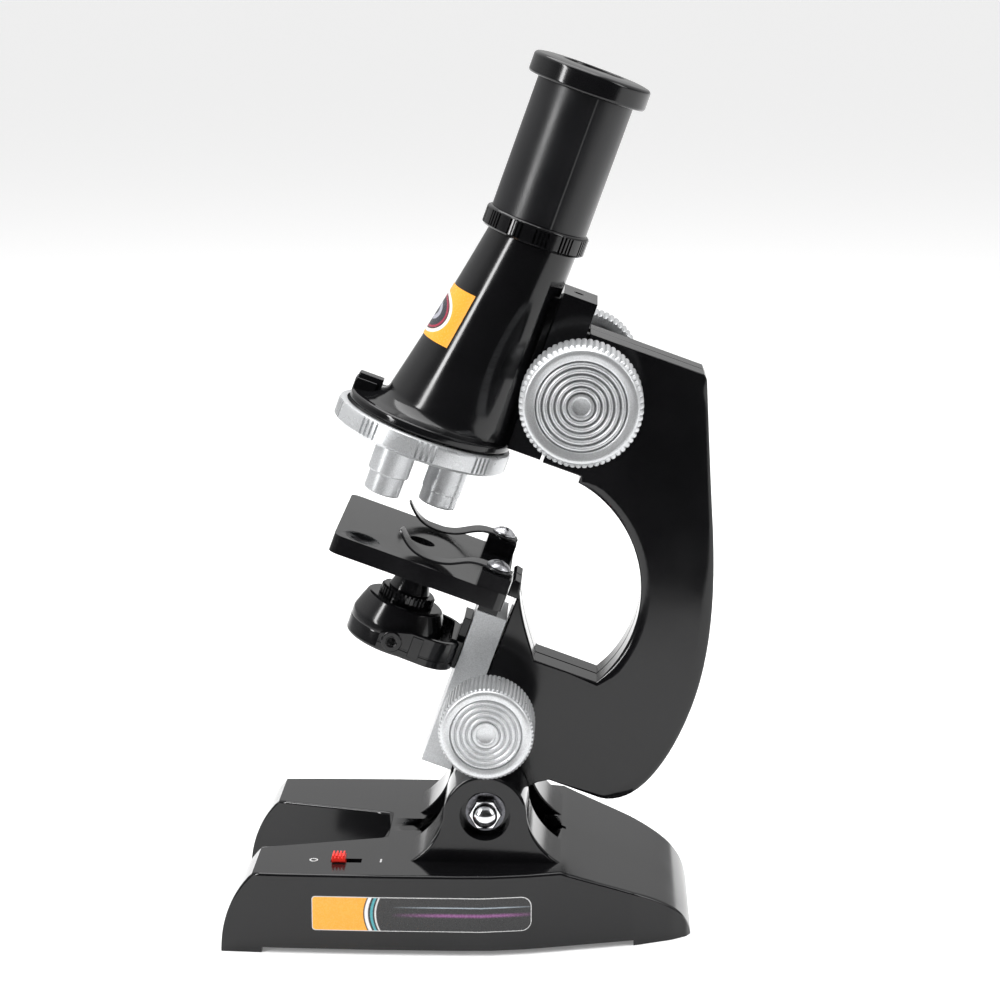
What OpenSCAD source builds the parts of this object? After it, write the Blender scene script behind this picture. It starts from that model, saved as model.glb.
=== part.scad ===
// Toy compound microscope: an inclined arm on a forked base, rack and pinion focus, a rack
// and pinion stage, a three-objective turret and a tilting lamp under the stage.
// Base parts are drawn about the middle of the base. Arm parts are drawn upright, with the
// tilt pivot at their origin, and on_arm() leans them back.

/* [Base] */
// Length of the base, front of the legs to the rear end
base_length = 109; // [107:0.5:111]
// Greatest width of the base
base_width = 69.2; // [68:0.2:71]
// Height of the flat top of the base
base_height = 19.4; // [19:0.1:20]
// Wall thickness of the moulded shells
wall = 1.8; // [1.4:0.1:2]
// Half width of the gap between the legs at its mouth
gap_mouth = 18.2; // [17:0.1:19]
// Half width of the gap at its inner end
gap_root = 8.6; // [8:0.1:9.5]
// Where the gap ends along the base
gap_end_x = -17.8; // [-19:0.1:-16.5]
// How far the corner feet stand below the base's rim
foot_height = 1.3; // [1:0.1:1.6]

/* [Tilt hinge] */
// Position of the tilt pivot along the base
pivot_x = 6.3; // [5:0.1:8]
// Height of the tilt pivot
pivot_z = 30.6; // [30:0.1:31.5]
// Angle at which the arm leans back
tilt = 19.8; // [0:0.1:20]
// Radius of the ears' round tops
ear_radius = 9.8; // [9:0.1:10]
// Distance from the centre plane to an ear's outer face
ear_outer = 25; // [24:0.1:26]
// Half width of the slot between the ears
ear_slot = 8.5; // [8.4:0.1:9]
// Radius of the hinge bolt
bolt_radius = 1.95; // [1.9:0.01:1.96]

/* [Arm] */
// Half thickness of the arm
arm_half = 7.5; // [7:0.1:7.6]
// Height of the arm's top above the pivot
arm_top = 111.9; // [111:0.1:113]
// Height of the head's underside
head_under = 79.7; // [79:0.1:80.5]
// Centre of the arm opening's round side, along and up
opening_centre = [-10.9, 49];
// Radius of the arm opening's round side
opening_radius = 29.5; // [28:0.1:30]
// Height of the opening's flat floor
opening_floor = 34.5; // [33:0.1:35]

/* [Optics] */
// Distance of the optical axis from the pivot
optic_x = -35; // [-35.2:0.1:-34.8]
// Outer radius of the draw tube
tube_radius = 11.4; // [11.2:0.1:11.5]
// Height of the seat of the draw tube
tube_foot = 126.6; // [126:0.1:127]
// Height of the top of the draw tube
tube_top = 162.5; // [161:0.1:163]
// Radius of the eyepiece cap
cap_radius = 14; // [13.5:0.1:14.5]
// Distance of the turret's axis from the pivot
turret_x = -43.7; // [-44:0.1:-43.4]
// Outer radius of the turret
turret_radius = 21.2; // [20.5:0.1:21.5]
// Height of the turret's lower face
turret_under = 72.4; // [72:0.1:73]
// Height of the objectives' lower ends
objective_under = 60.4; // [60:0.1:62]

/* [Stage] */
// Front and rear ends of the stage
stage_x = [-54.8, -12.8];
// Half width of the stage
stage_half = 21.8; // [20:0.1:22]
// Height of the stage's top face
stage_top = 50.6; // [50:0.1:51]
// Thickness of the stage
stage_thick = 4.3; // [4:0.1:4.5]
// Radius of the light hole
stage_hole = 3.1; // [2.5:0.1:3.5]
// Distance of the clips' screws from the centre plane
clip_y = 17; // [16:0.1:17.5]
// Angle at which the clips converge
clip_turn = 7; // [0:1:15]

/* [Focus drives] */
// Focus pinion's axis, along and up
focus_axis = [-12.6, 99];
// Stage pinion's axis, along and up
stage_axis = [-6.9, 20.9];
// Tooth module of both racks and pinions
gear_module = 1; // [1:0.1:1]
// Teeth on each pinion
pinion_teeth = 8; // [8:1:8]
// Radius of the focus knobs
focus_knob_radius = 13.9; // [13:0.1:14]
// Radius of the stage knobs
stage_knob_radius = 10.9; // [10.5:0.1:11]

/* [Lamp] */
// Lamp pivot, along and up
lamp_pivot = [-34, 28.6];
// Half width between the fork's arms
fork_inner = 11.6; // [11.5:0.1:12]
// Greatest radius of the lamp housing
lamp_radius = 11.2; // [11:0.1:11.3]

/* [Hidden] */
$fn = 48;
fine = 72;
row_x = -2.3;
half_l = base_length / 2;
half_w = base_width / 2;
top_z = base_height;
skin_z = top_z - wall;
plate_z = foot_height + 1.6;
run = 0.05;
pitch = PI * gear_module;
pinion_r = pinion_teeth * gear_module / 2;
shaft_r = 2;
fit = 0.2;
cell_r = 5.25;
cell_l = 44.5;
cell_x = [-5, 7];
cell_z = 8.7;
slot_floor = 16.4;
switch_c = [-26, -25];
arm_screw_at = [[4, 101], [24.5, 62], [27, 24], [10, 22]];
base_screw_at = [[-40, -26], [-40, 26], [36, -17], [36, 17]];
objective_r = optic_x - turret_x;
neck_r = 9.6;
cone_low_z = 84;
flange_x = -43;
flange_r = 19.7;
flange_z = [78.1, 80.3];
carriage_x = [-24.1, -21.8, -16];
bracket_x = [-17.6, -16, -10.2];
clip_x = stage_x[1] - 3.9;
clip_lift = 54.45;
black = "#17171a";
silver = "#b4b6b8";
chrome = "#d8dadd";

// ---- helpers -------------------------------------------------------------------------

function bezier(a, b, c, d, n) = [for (i = [0:n]) let (t = i / n, s = 1 - t)
    s * s * s * a + 3 * s * s * t * b + 3 * s * t * t * c + t * t * t * d];

function arc(centre, r, from, to, n) = [for (i = [0:n]) let (a = from + (to - from) * i / n)
    centre + r * [cos(a), sin(a)]];

function reversed(list) = [for (i = [len(list) - 1:-1:0]) list[i]];

function mirrored(points) = [for (p = reversed(points)) [p[0], -p[1]]];

// Puts base parts in the row's frame, whose origin is under the middle of the whole object
module on_base() {
    translate([row_x, 0, 0]) children();
}

// Puts arm parts in the row's frame, leaning back about the tilt pivot
module on_arm() {
    translate([row_x + pivot_x, 0, pivot_z]) rotate([0, tilt, 0]) children();
}

// Extrudes a side-view outline (along, up) from y = low to y = high
module side(low, high) {
    translate([0, high, 0]) rotate([90, 0, 0]) linear_extrude(high - low) children();
}

// Cylinder along Y at a side-view place
module cross_pin(at, r, low, high) {
    translate([at[0], high, at[1]]) rotate([90, 0, 0]) cylinder(r = r, h = high - low);
}

// Cylinder along Z
module post(at, r, low, high) {
    translate([at[0], at[1], low]) cylinder(r = r, h = high - low);
}

// Box between two corners
module box(low, high) {
    translate(low) cube(high - low);
}

// Ring of rectangular section around Z
module ring(at, outer, inner, low, high) {
    difference() {
        post(at, outer, low, high);
        post(at, inner, low - 1, high + 1);
    }
}

// Pan-head screw standing on its tip, head up, with a cross slot
module screw(head_r, head_h, shank_r, shank_l) {
    difference() {
        union() {
            cylinder(r = shank_r, h = shank_l + 0.1);
            translate([0, 0, shank_l]) cylinder(r = head_r, h = head_h);
        }
        for (a = [0, 90])
            translate([0, 0, shank_l + head_h]) rotate(a)
                cube([head_r * 1.2, 0.6, head_h * 0.9], center = true);
    }
}

// ---- base ----------------------------------------------------------------------------

function base_side(d) = [
    [-half_l + d, half_w - 1.2 - d], [-40, half_w - 0.4 - d], [-18, half_w - d],
    [6, half_w - 0.1 - d], [17, half_w - 1.8 - d], [41, 26.6 - d], [50, 22.8 - d],
    [half_l - 1 - d, 20.4 - d], [half_l - d, 18.5 - d]];

module base_plan(d) {
    polygon(concat(base_side(d), mirrored(base_side(d))));
}

module gap_plan(d) {
    side_in = [[-half_l - 2, gap_mouth + 0.6 + d], [gap_end_x - 0.8, gap_root + d],
        [gap_end_x + d, gap_root - 0.9 + d]];
    polygon(concat(side_in, mirrored(side_in)));
}

function base_front(d) = arc([-28.7, 1], 25.8 - d, 180, 135, 8);

function base_rear(d) = bezier([24, top_z - d], [40 - d, 13 - d], [53.5 - d, 10.5 - d],
    [half_l - d, 0], 12);

module base_profile(d) {
    polygon(concat([[-half_l + d, 0]], base_front(d), [[-46.9 + d, top_z - d]],
        base_rear(d)));
}

module base_body(d) {
    intersection() {
        linear_extrude(top_z + 5) difference() {
            base_plan(d);
            gap_plan(d);
        }
        side(-half_w - 2, half_w + 2) base_profile(d);
    }
}

// Half outline of an ear from the foot to the dome's crown, relative to the pivot
function ear_half(d) = concat([[17.2 - d, top_z - pivot_z - 2.5]],
    bezier([17.2 - d, top_z - pivot_z], [14 - d, -8], [ear_radius + 0.3 - d, -5],
        [ear_radius - d, -0.5], 8), arc([0, 0], ear_radius - d, 5, 90, 10));

module ear_profile(d) {
    half = ear_half(d);
    translate([pivot_x, pivot_z])
        polygon(concat(half, [for (p = reversed(half)) [-p[0], p[1]]]));
}

module ears_solid() {
    for (s = [-1, 1])
        side(min(s * ear_slot, s * ear_outer), max(s * ear_slot, s * ear_outer))
            ear_profile(0);
}

// Hollow in the foot of each ear
module ears_hollow() {
    for (s = [-1, 1]) {
        inner = s * (ear_slot + wall);
        outer = s * (ear_outer - wall);
        difference() {
            side(min(inner, outer), max(inner, outer)) ear_profile(wall);
            cross_pin([pivot_x, pivot_z], 9.2, min(inner, outer) - 1, max(inner, outer) + 1);
        }
    }
}

// Recess between the ears, pointed at both ends; d widens it
module slot_plan(d) {
    polygon([[-12.6 - 1.4 * d, 0], [-7 - 0.6 * d, ear_slot + d],
        [pivot_x + 13 + 0.6 * d, ear_slot + d], [24 + 1.4 * d, 0],
        [pivot_x + 13 + 0.6 * d, -ear_slot - d], [-7 - 0.6 * d, -ear_slot - d]]);
}

// Outer body of the base with its ears, still solid
module base_solid() {
    base_body(0);
    ears_solid();
}

// Space inside the base and the ears' feet
module base_hollow() {
    difference() {
        union() {
            intersection() {
                base_body(wall);
                box([-60, -60, plate_z], [60, 60, skin_z]);
            }
            ears_hollow();
        }
        translate([0, 0, slot_floor - wall]) linear_extrude(10) slot_plan(wall);
    }
}

// Mouth under the base that the bottom plate closes
module plate_mouth() {
    linear_extrude(plate_z + 0.1) intersection() {
        difference() {
            base_plan(wall);
            gap_plan(wall);
        }
        translate([-44.8, -50]) square([85.6, 100]);
    }
}

module base_shell() {
    color(black) on_base() difference() {
        union() {
            difference() {
                base_solid();
                base_hollow();
                plate_mouth();
            }
            for (p = base_screw_at)
                post(p, 2.8, plate_z, p[0] > 0 ? 13.2 : skin_z + 0.5);
        }
        box([-45, -60, -1], [41, 60, foot_height]);
        translate([0, 0, slot_floor]) linear_extrude(10) slot_plan(0);
        for (p = base_screw_at)
            post(p, 1.15, -1, 12);
        for (s = [-1, 1])
            cross_pin([pivot_x, pivot_z], 5.9, min(s * 21, s * 26), max(s * 21, s * 26));
        cross_pin([pivot_x, pivot_z], bolt_radius + run, -30, 30);
        box([switch_c[0] - 3.6, switch_c[1] - 1.3, skin_z - 1],
            [switch_c[0] + 3.6, switch_c[1] + 1.3, top_z + 1]);
    }
}

module door_plan(d) {
    translate([-13 - d, -25.5 - d]) square([28.5 + 2 * d, 51 + 2 * d]);
}

module base_plate() {
    color(black) on_base() difference() {
        translate([0, 0, foot_height]) linear_extrude(plate_z - foot_height)
            difference() {
                intersection() {
                    difference() {
                        base_plan(wall + fit);
                        gap_plan(wall + fit);
                    }
                    translate([-44.6, -50]) square([85.2, 100]);
                }
                door_plan(fit);
            }
        for (p = base_screw_at) {
            post(p, 1.4, 0, 5);
            post(p, 2.7, 0, foot_height + 0.8);
        }
        post([19.2, 0], 1.15, 0, 5);
    }
}

module base_screws() {
    color(chrome) on_base() for (p = base_screw_at)
        translate([p[0], p[1], foot_height + 7.9]) rotate([180, 0, 0])
            screw(2.4, 0.75, 1.1, 7.1);
}

module battery_door() {
    color(black) on_base() difference() {
        union() {
            translate([0, 0, foot_height]) linear_extrude(plate_z - foot_height)
                door_plan(0);
            box([13, -5, plate_z + 0.15], [22, 5, plate_z + 1.5]);
            box([13, -5, foot_height + 0.2], [15.4, 5, plate_z + 1.5]);
        }
        post([19.2, 0], 1.2, 0, 8);
    }
}

module battery_door_screw() {
    color(chrome) on_base() translate([19.2, 0, foot_height + 4.2]) rotate([180, 0, 0])
        difference() {
            cylinder(r = 1.1, h = 4.1);
            translate([-1, -0.25, 3.6]) cube([2, 0.5, 1]);
        }
}

module battery_cells() {
    for (i = [0, 1]) {
        color("#c9a227") on_base() translate([cell_x[i], 0, cell_z])
            rotate([i == 0 ? 90 : -90, 0, 0]) {
                translate([0, 0, -cell_l / 2]) cylinder(r = cell_r, h = cell_l - 1);
                translate([0, 0, cell_l / 2 - 1.1]) cylinder(r = 1.9, h = 1.1);
            }
    }
}

module battery_contacts() {
    reach = cell_l / 2 + 0.15;
    color(chrome) on_base() {
        box([cell_x[0] - 4, -reach - 0.5, 5], [cell_x[1] + 4, -reach, 13]);
        for (x = cell_x)
            box([x - 4, reach, 5], [x + 4, reach + 0.5, 13]);
    }
}

module switch_body() {
    color("#2c2c2f") on_base() difference() {
        box([switch_c[0] - 5, switch_c[1] - 3, 11.5], [switch_c[0] + 5, switch_c[1] + 3, 17.5]);
        box([switch_c[0] - 3.8, switch_c[1] - 1.4, 15.2],
            [switch_c[0] + 3.8, switch_c[1] + 1.4, 18]);
    }
}

module switch_slider() {
    x0 = switch_c[0] - 3.3;
    color("#d8342a") on_base() {
        box([x0, switch_c[1] - 1, 15.5], [x0 + 3.2, switch_c[1] + 1, top_z + 0.4]);
        box([x0, switch_c[1] - 1.7, top_z + 0.3], [x0 + 3.2, switch_c[1] + 1.7, top_z + 1.9]);
    }
}

module base_label() {
    color("#e8912a") on_base() side(-half_w - 0.12, -half_w + 0.02)
        translate([-33, 5.9]) square([50.5, 8.4]);
}

module hinge_bolt() {
    color(chrome) on_base() difference() {
        union() {
            cross_pin([pivot_x, pivot_z], bolt_radius, -23.4, 21.7);
            translate([pivot_x, 24.3, pivot_z]) rotate([90, 0, 0])
                cylinder(r = 3.75, h = 2.6, $fn = 6);
        }
    }
}

module hinge_nut() {
    color(chrome) on_base() translate([pivot_x, -21.65, pivot_z]) rotate([90, 0, 0]) {
        difference() {
            union() {
                cylinder(r = 3.95, h = 2.5, $fn = 6);
                translate([0, 0, 2.4]) intersection() {
                    sphere(r = 2.9);
                    cylinder(r = 3, h = 3);
                }
            }
            translate([0, 0, -1]) cylinder(r = bolt_radius + 0.02, h = 3);
        }
    }
}

module hinge_washers() {
    color(chrome) on_base() for (y = [-21.6, 21.05])
        difference() {
            cross_pin([pivot_x, pivot_z], 4.6, y, y + 0.55);
            cross_pin([pivot_x, pivot_z], bolt_radius + 0.02, y - 1, y + 2);
        }
}

// ---- arm -----------------------------------------------------------------------------

// Back of the arm from its top corner down to the underside
function arm_back(d) = concat(
    bezier([13.6 - d, arm_top - 1 - d], [17 - d, 103], [21.5 - d, 92], [27.2 - d, 79], 8),
    bezier([27.2 - d, 79], [33.2 - d, 65], [38.1 - d, 50], [38.1 - d, 36], 8),
    bezier([38.1 - d, 36], [38.1 - d, 22], [34.5 - d, 8 + d], [25.5 - d, 7.8 + d], 8));

// Round side of the opening, floor end first; d widens the opening
function opening_arc(d) = let (r = opening_radius + d,
    low = asin((opening_floor - d - opening_centre[1]) / r),
    high = 90 - asin((-5.8 - opening_centre[0]) / r))
    arc(opening_centre, r, low, high, 16);

module arm_profile() {
    polygon(concat(
        [[-15.2, arm_top], [12.6, arm_top]], arm_back(0),
        [[12.6, 7.8], [10.2, 6.3]],
        arc([0, 0], 9, 25, -190, 20),
        [[-9.8, 6], [-9.8, 47], [-12.1, 47], [-12.1, 50.6], [-11.5, 51.2], [-10, 50.9]],
        bezier([-9.6, 48.7], [-7.4, 43.4], [-4, 39], [-0.7, opening_floor], 6),
        opening_arc(0),
        [[-5.8, head_under], [-15.2, head_under]]));
}

module arm_hollow(d) {
    polygon(concat(
        [[-15.2 + d, arm_top - d]], arm_back(d),
        [[12, 7.8 + d], [8, 10], [-9.8 + d, 12], [-9.8 + d, opening_floor - d]],
        opening_arc(d),
        [[-5.8 - d, head_under + d], [-15.2 + d, head_under + d]]));
}

// One half of the arm: s = -1 is the near half, s = 1 the far half
module arm_half_shell(s) {
    outer = s * arm_half;
    inner_face = s * (arm_half - wall);
    difference() {
        union() {
            difference() {
                side(min(outer, 0), max(outer, 0)) arm_profile();
                side(min(inner_face, -s), max(inner_face, -s)) arm_hollow(wall);
            }
            side(min(s * 3, s * 6.1), max(s * 3, s * 6.1)) {
                translate([-21.4, 81.2]) square([7, 30.2]);
                translate([-15.6, 8]) square([6.5, 23.2]);
            }
            cross_pin([0, 0], 7, min(s * 7, s * 8.2), max(s * 7, s * 8.2));
            for (at = [focus_axis, stage_axis])
                cross_pin(at, 4.2, min(s * 3.2, s * 6.1), max(s * 3.2, s * 6.1));
            for (at = arm_screw_at)
                cross_pin(at, 2.8, min(0, s * 7), max(0, s * 7));
        }
        for (at = [focus_axis, stage_axis]) {
            cross_pin(at, shaft_r + run, -10, 10);
            side(-3.1, 3.1) translate([at[0] - 6, at[1] - 6]) square([7, 12]);
        }
        cross_pin([0, 0], bolt_radius + run, -10, 10);
        for (at = arm_screw_at) {
            cross_pin(at, 1.15, -5, 10);
            cross_pin(at, 2.6, 5, 10);
        }
    }
}

module arm_shell_near() {
    color(black) on_arm() arm_half_shell(-1);
}

module arm_shell_far() {
    color(black) on_arm() arm_half_shell(1);
}

module arm_screws() {
    color(chrome) on_arm() for (at = arm_screw_at)
        translate([at[0], -4.5, at[1]]) rotate([-90, 0, 0]) screw(2.4, 1.4, 1.1, 9.6);
}

// ---- racks, pinions and knobs --------------------------------------------------------

// Pinion outline: one tooth points along -X at rest
module pinion_outline() {
    root = pinion_r - 1.2 * gear_module;
    union() {
        circle(r = root);
        for (i = [0:pinion_teeth - 1])
            rotate(180 + i * 360 / pinion_teeth)
                polygon([[root - 0.6, -0.95], [pinion_r, -0.56], [pinion_r + 0.7, -0.32],
                    [pinion_r + 0.7, 0.32], [pinion_r, 0.56], [root - 0.6, 0.95]]);
    }
}

module pinion(at) {
    difference() {
        side(-2.5, 2.5) translate(at) pinion_outline();
        cross_pin(at, shaft_r + 0.02, -5, 5);
    }
}

// Rack facing +X, in mesh with a pinion at its right; back is its rear face
module rack(at, back, low, high) {
    line = at[0] - pinion_r;
    first = ceil((low - at[1]) / pitch - 0.5);
    last = floor((high - at[1]) / pitch - 0.5);
    side(-2.5, 2.5) union() {
        translate([back, low]) square([line - 1.1 - back, high - low]);
        for (i = [first:last])
            translate([line, at[1] + (i + 0.5) * pitch])
                polygon([[-1.2, -0.85], [0, -0.58], [0.7, -0.36], [0.7, 0.36], [0, 0.58],
                    [-1.2, 0.85]]);
    }
}

// Knob on the near side (s = -1) or far side (s = 1), with a hub towards the arm
module knob(at, s, face, thick, r, groove_r) {
    rear = face - thick;
    difference() {
        union() {
            cross_pin(at, r, min(s * rear, s * (face - 0.6)), max(s * rear, s * (face - 0.6)));
            cross_pin(at, r - 0.9, min(s * rear, s * face), max(s * rear, s * face));
            cross_pin(at, 4.6, min(s * 8.6, s * rear), max(s * 8.6, s * rear));
        }
        difference() {
            cross_pin(at, r - 1.8, min(s * (rear - 0.1), s * (face - 2.4)),
                max(s * (rear - 0.1), s * (face - 2.4)));
            cross_pin(at, 4.6, min(s * rear - 1, s * face), max(s * rear + 1, s * face));
        }
        cross_pin(at, shaft_r + 0.02, min(s * 8, s * (face - 1.6)),
            max(s * 8, s * (face - 1.6)));
        for (g = groove_r)
            translate([at[0], s * face, at[1]]) rotate([90, 0, 0]) rotate_extrude()
                translate([g, 0]) polygon([[-0.35, -0.3], [0, 0.3], [0.35, -0.3],
                    [0.35, 0.5 * s], [-0.35, 0.5 * s]]);
    }
}

module drive_shaft(at, face) {
    cross_pin(at, shaft_r, -face + 1.7, face - 1.7);
}

focus_face = 31;
stage_face = 32.5;

module focus_shaft() {
    color(chrome) on_arm() drive_shaft(focus_axis, focus_face);
}

module focus_pinion() {
    color("#d9d4c4") on_arm() pinion(focus_axis);
}

module focus_knob(s) {
    color(silver) on_arm() knob(focus_axis, s, focus_face, 10.6, focus_knob_radius, []);
}

module focus_knob_near() {
    focus_knob(-1);
}

module focus_knob_far() {
    focus_knob(1);
}

module stage_shaft() {
    color(chrome) on_arm() drive_shaft(stage_axis, stage_face);
}

module stage_pinion() {
    color("#d9d4c4") on_arm() pinion(stage_axis);
}

module stage_knob(s) {
    color(silver) on_arm() knob(stage_axis, s, stage_face, 12.1, stage_knob_radius, []);
}

module stage_knob_near() {
    stage_knob(-1);
}

module stage_knob_far() {
    stage_knob(1);
}

// ---- focus carriage, cone and turret -------------------------------------------------

module carriage() {
    color(black) on_arm() difference() {
        side(-8, 8) translate([carriage_x[0], 80.2])
            square([carriage_x[2] - carriage_x[0], 38.4]);
        side(-6.4, 6.4) translate([carriage_x[1], 79])
            square([10, 38.2]);
        post([-20.6, 0], 1.2, 110, 125);
    }
}

module focus_rack() {
    color("#d9d4c4") on_arm() rack(focus_axis, carriage_x[1], 83, 113);
}

module cone_outer() {
    hull() {
        post([optic_x + 0.2, 0], 10.6, tube_foot - 1, tube_foot - 0.3);
        post([-39.3, 0], 15.3, cone_low_z, cone_low_z + 0.5);
    }
    hull() {
        post([-39.3, 0], 15.3, cone_low_z, cone_low_z + 0.5);
        post([flange_x + 1, 0], 18.2, flange_z[1], flange_z[1] + 0.3);
    }
}

module cone_inner() {
    hull() {
        post([optic_x, 0], 7.6, tube_foot + 1, tube_foot + 1.2);
        post([-39.3, 0], 13.2, cone_low_z, cone_low_z + 0.5);
    }
    hull() {
        post([-39.3, 0], 13.2, cone_low_z, cone_low_z + 0.5);
        post([-40, 0], 13.8, flange_z[1], flange_z[1] + 0.3);
    }
}

module body_cone() {
    color(black) on_arm() difference() {
        union() {
            cone_outer();
            post([flange_x, 0], flange_r, flange_z[0], flange_z[1]);
            post([optic_x, 0], neck_r, tube_foot - 0.5, 157);
            box([-31, -5.5, flange_z[0]], [carriage_x[0], 5.5, 117]);
            box([-62.6, -2.2, flange_z[0]], [-57, 2.2, 83]);
        }
        difference() {
            cone_inner();
            post([turret_x, 0], 3.2, 78, 88);
        }
        post([optic_x, 0], 7.6, tube_foot - 1, 160);
        post([optic_x, 0], 3, 70, 90);
        post([turret_x, 0], 1.25, 70, 86);
        box([carriage_x[0], -8.2, flange_z[1] - 0.3], [carriage_x[2], 8.2, 119]);
    }
}

module cone_label() {
    color("#e8912a") on_arm() intersection() {
        difference() {
            hull() {
                post([optic_x + 0.2, 0], 10.75, tube_foot - 1, tube_foot - 0.3);
                post([-39.3, 0], 15.45, cone_low_z, cone_low_z + 0.5);
            }
            cone_outer();
        }
        box([-52, -30, 97.5], [-43.6, 0, 112]);
    }
}

module turret_screw() {
    color(chrome) on_arm() translate([turret_x, 0, 85.5]) rotate([180, 0, 0])
        screw(2.9, 1.3, 1.22, 13.4);
}

// Leaf spring above the turret with a dimple that clicks into its rim
module turret_detent() {
    color("#c8b070") on_arm() difference() {
        box([-60.5, -2, 77.6], [-47, 2, flange_z[0]]);
        post([-49.5, 0], 0.8, 70, 80);
    }
}

module turret_disc() {
    color(silver) on_arm() difference() {
        union() {
            post([turret_x, 0], turret_radius, turret_under + 1, 77.8);
            post([turret_x, 0], turret_radius - 0.8, turret_under, 77.8);
        }
        ring([turret_x, 0], turret_radius - 1.8, 2.6, turret_under + 1.8, 90);
        post([turret_x, 0], 1.3, 60, 90);
        for (i = [0:2])
            translate([turret_x, 0, 0]) rotate(i * 120) post([objective_r, 0], 3.6, 60, 90);
    }
}

// Objective number i of the turret: two barrel steps, a threaded stub and a light bore
module objective(i, upper_r, lower_r, step) {
    on_arm() translate([turret_x, 0, 0]) rotate(i * 120) difference() {
        union() {
            post([objective_r, 0], upper_r, turret_under - step, turret_under);
            post([objective_r, 0], lower_r, objective_under, turret_under - step + 0.1);
            post([objective_r, 0], 3.55, turret_under - 0.1, 75.6);
        }
        post([objective_r, 0], 1.8, 50, 80);
        post([objective_r, 0], 2.9, 50, objective_under + 1.6);
    }
}

module objective_low() {
    color(silver) objective(0, 4.7, 4.55, 7.4);
}

module objective_mid() {
    color(silver) objective(1, 4.9, 4.3, 7.2);
}

module objective_high() {
    color(silver) objective(2, 4.9, 4.3, 7.2);
}

module objective_lenses() {
    color("#c7dbe6") on_arm() for (i = [0:2])
        translate([turret_x, 0, 0]) rotate(i * 120)
            post([objective_r, 0], 2.85, objective_under + 0.5, objective_under + 1.5);
}

// ---- eyepiece ------------------------------------------------------------------------

module draw_tube() {
    color(black) on_arm()
        ring([optic_x, 0], tube_radius, neck_r + run, tube_foot, tube_top);
}

module eyepiece_collar() {
    color(black) on_arm()
        ring([optic_x, 0], 12.4, tube_radius + 0.02, tube_foot, tube_foot + 4.8);
}

module eyepiece_cap() {
    color(black) on_arm() difference() {
        union() {
            post([optic_x, 0], cap_radius, tube_top + 0.02, 167.4);
            post([optic_x, 0], cap_radius - 1.2, 167, 168);
        }
        post([optic_x, 0], 4.5, 150, 170);
        post([optic_x, 0], 7.6, 150, 165.4);
        post([optic_x, 0], 7.5, 167.3, 170);
    }
}

module eye_lens() {
    color("#c7dbe6") on_arm() intersection() {
        post([optic_x, 0], 7.5, 162.6, 165.3);
        translate([optic_x, 0, 150]) sphere(r = 15.3);
    }
}

module field_lens() {
    color("#c7dbe6") on_arm() post([optic_x, 0], 7.5, 153, 155.4);
}

// ---- stage ---------------------------------------------------------------------------

module rounded_plan(low, high, r) {
    translate([low[0] + r, low[1]]) square([high[0] - low[0] - 2 * r, high[1] - low[1]]);
    translate([low[0], low[1] + r]) square([high[0] - low[0], high[1] - low[1] - 2 * r]);
    for (x = [low[0] + r, high[0] - r], y = [low[1] + r, high[1] - r])
        translate([x, y]) circle(r = r);
}

module stage_plate() {
    boss = [stage_x[1] - 7.5, stage_x[1]];
    color(black) on_arm() difference() {
        union() {
            translate([0, 0, stage_top - stage_thick]) linear_extrude(stage_thick)
                rounded_plan([stage_x[0], -stage_half], [stage_x[1], stage_half], 2.2);
            for (s = [-1, 1])
                box([boss[0], min(s * 12.8, s * (stage_half - 0.2)), stage_top - 0.1],
                    [boss[1] - 0.3, max(s * 12.8, s * (stage_half - 0.2)), 54.2]);
            box([bracket_x[0], -8, 41.6], [stage_x[1], 8, stage_top - 1]);
        }
        difference() {
            box([stage_x[0] + wall, -stage_half + wall, 45],
                [bracket_x[0] - wall, stage_half - wall, stage_top - wall]);
            post([optic_x, 0], 5.2, 40, 55);
            box([-60, -0.6, 40], [-10, 0.6, 55]);
        }
        post([optic_x, 0], stage_hole, 40, 55);
        translate([-48.3, -16.8, stage_top + 7]) sphere(r = 8.3);
        for (s = [-1, 1])
            post([clip_x, s * clip_y], 1.5, 48, 60);
        for (s = [-1, 1])
            post([-14.6, s * 4.2], 1.2, 40, 47);
    }
}

module stage_bracket() {
    color(silver) on_arm() difference() {
        side(-8, 8) translate([bracket_x[0], 2.2]) square([bracket_x[2] - bracket_x[0], 39.3]);
        side(-6.4, 6.4) translate([bracket_x[1], 1]) square([10, 38.9]);
        for (s = [-1, 1])
            post([-14.6, s * 4.2], 1.25, 38, 47);
        translate([-20, 0, 29]) rotate([0, 90, 0]) cylinder(r = 1.2, h = 6);
    }
}

module stage_rack() {
    color("#d9d4c4") on_arm() rack(stage_axis, bracket_x[1], 6, 37.5);
}

module stage_screws() {
    color(chrome) on_arm() for (s = [-1, 1])
        translate([-14.6, s * 4.2, 46]) rotate([180, 0, 0])
            cylinder(r = 1.15, h = 6);
}

// Clip: eyelet on the boss, a slope down to the stage and a tip that curls up
module clip(y, turn) {
    low = stage_top + 0.7;
    mid = bezier([3, clip_lift + 0.3], [7.5, clip_lift + 0.2], [9, low + 0.4], [14.5, low], 8);
    tip = bezier([14.5, low], [19.5, low - 0.3], [21.5, 52.4], [24.2, 55.4], 7);
    line = concat(mid, [for (i = [1:7]) tip[i]]);
    upper = [for (p = line) p + [0.12, 0.28]];
    lower = [for (p = line) p - [0.12, 0.28]];
    translate([clip_x, y, 0]) rotate(turn) {
        difference() {
            post([0, 0], 3.6, clip_lift, clip_lift + 0.6);
            post([0, 0], 1.55, 50, 60);
        }
        difference() {
            side(-2.4, 2.4) mirror([1, 0]) polygon(concat(upper, reversed(lower)));
            post([0, 0], 3.5, 50, 60);
        }
    }
}

module clip_near() {
    color("#1c1c1f") on_arm() clip(-clip_y, -clip_turn);
}

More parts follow.
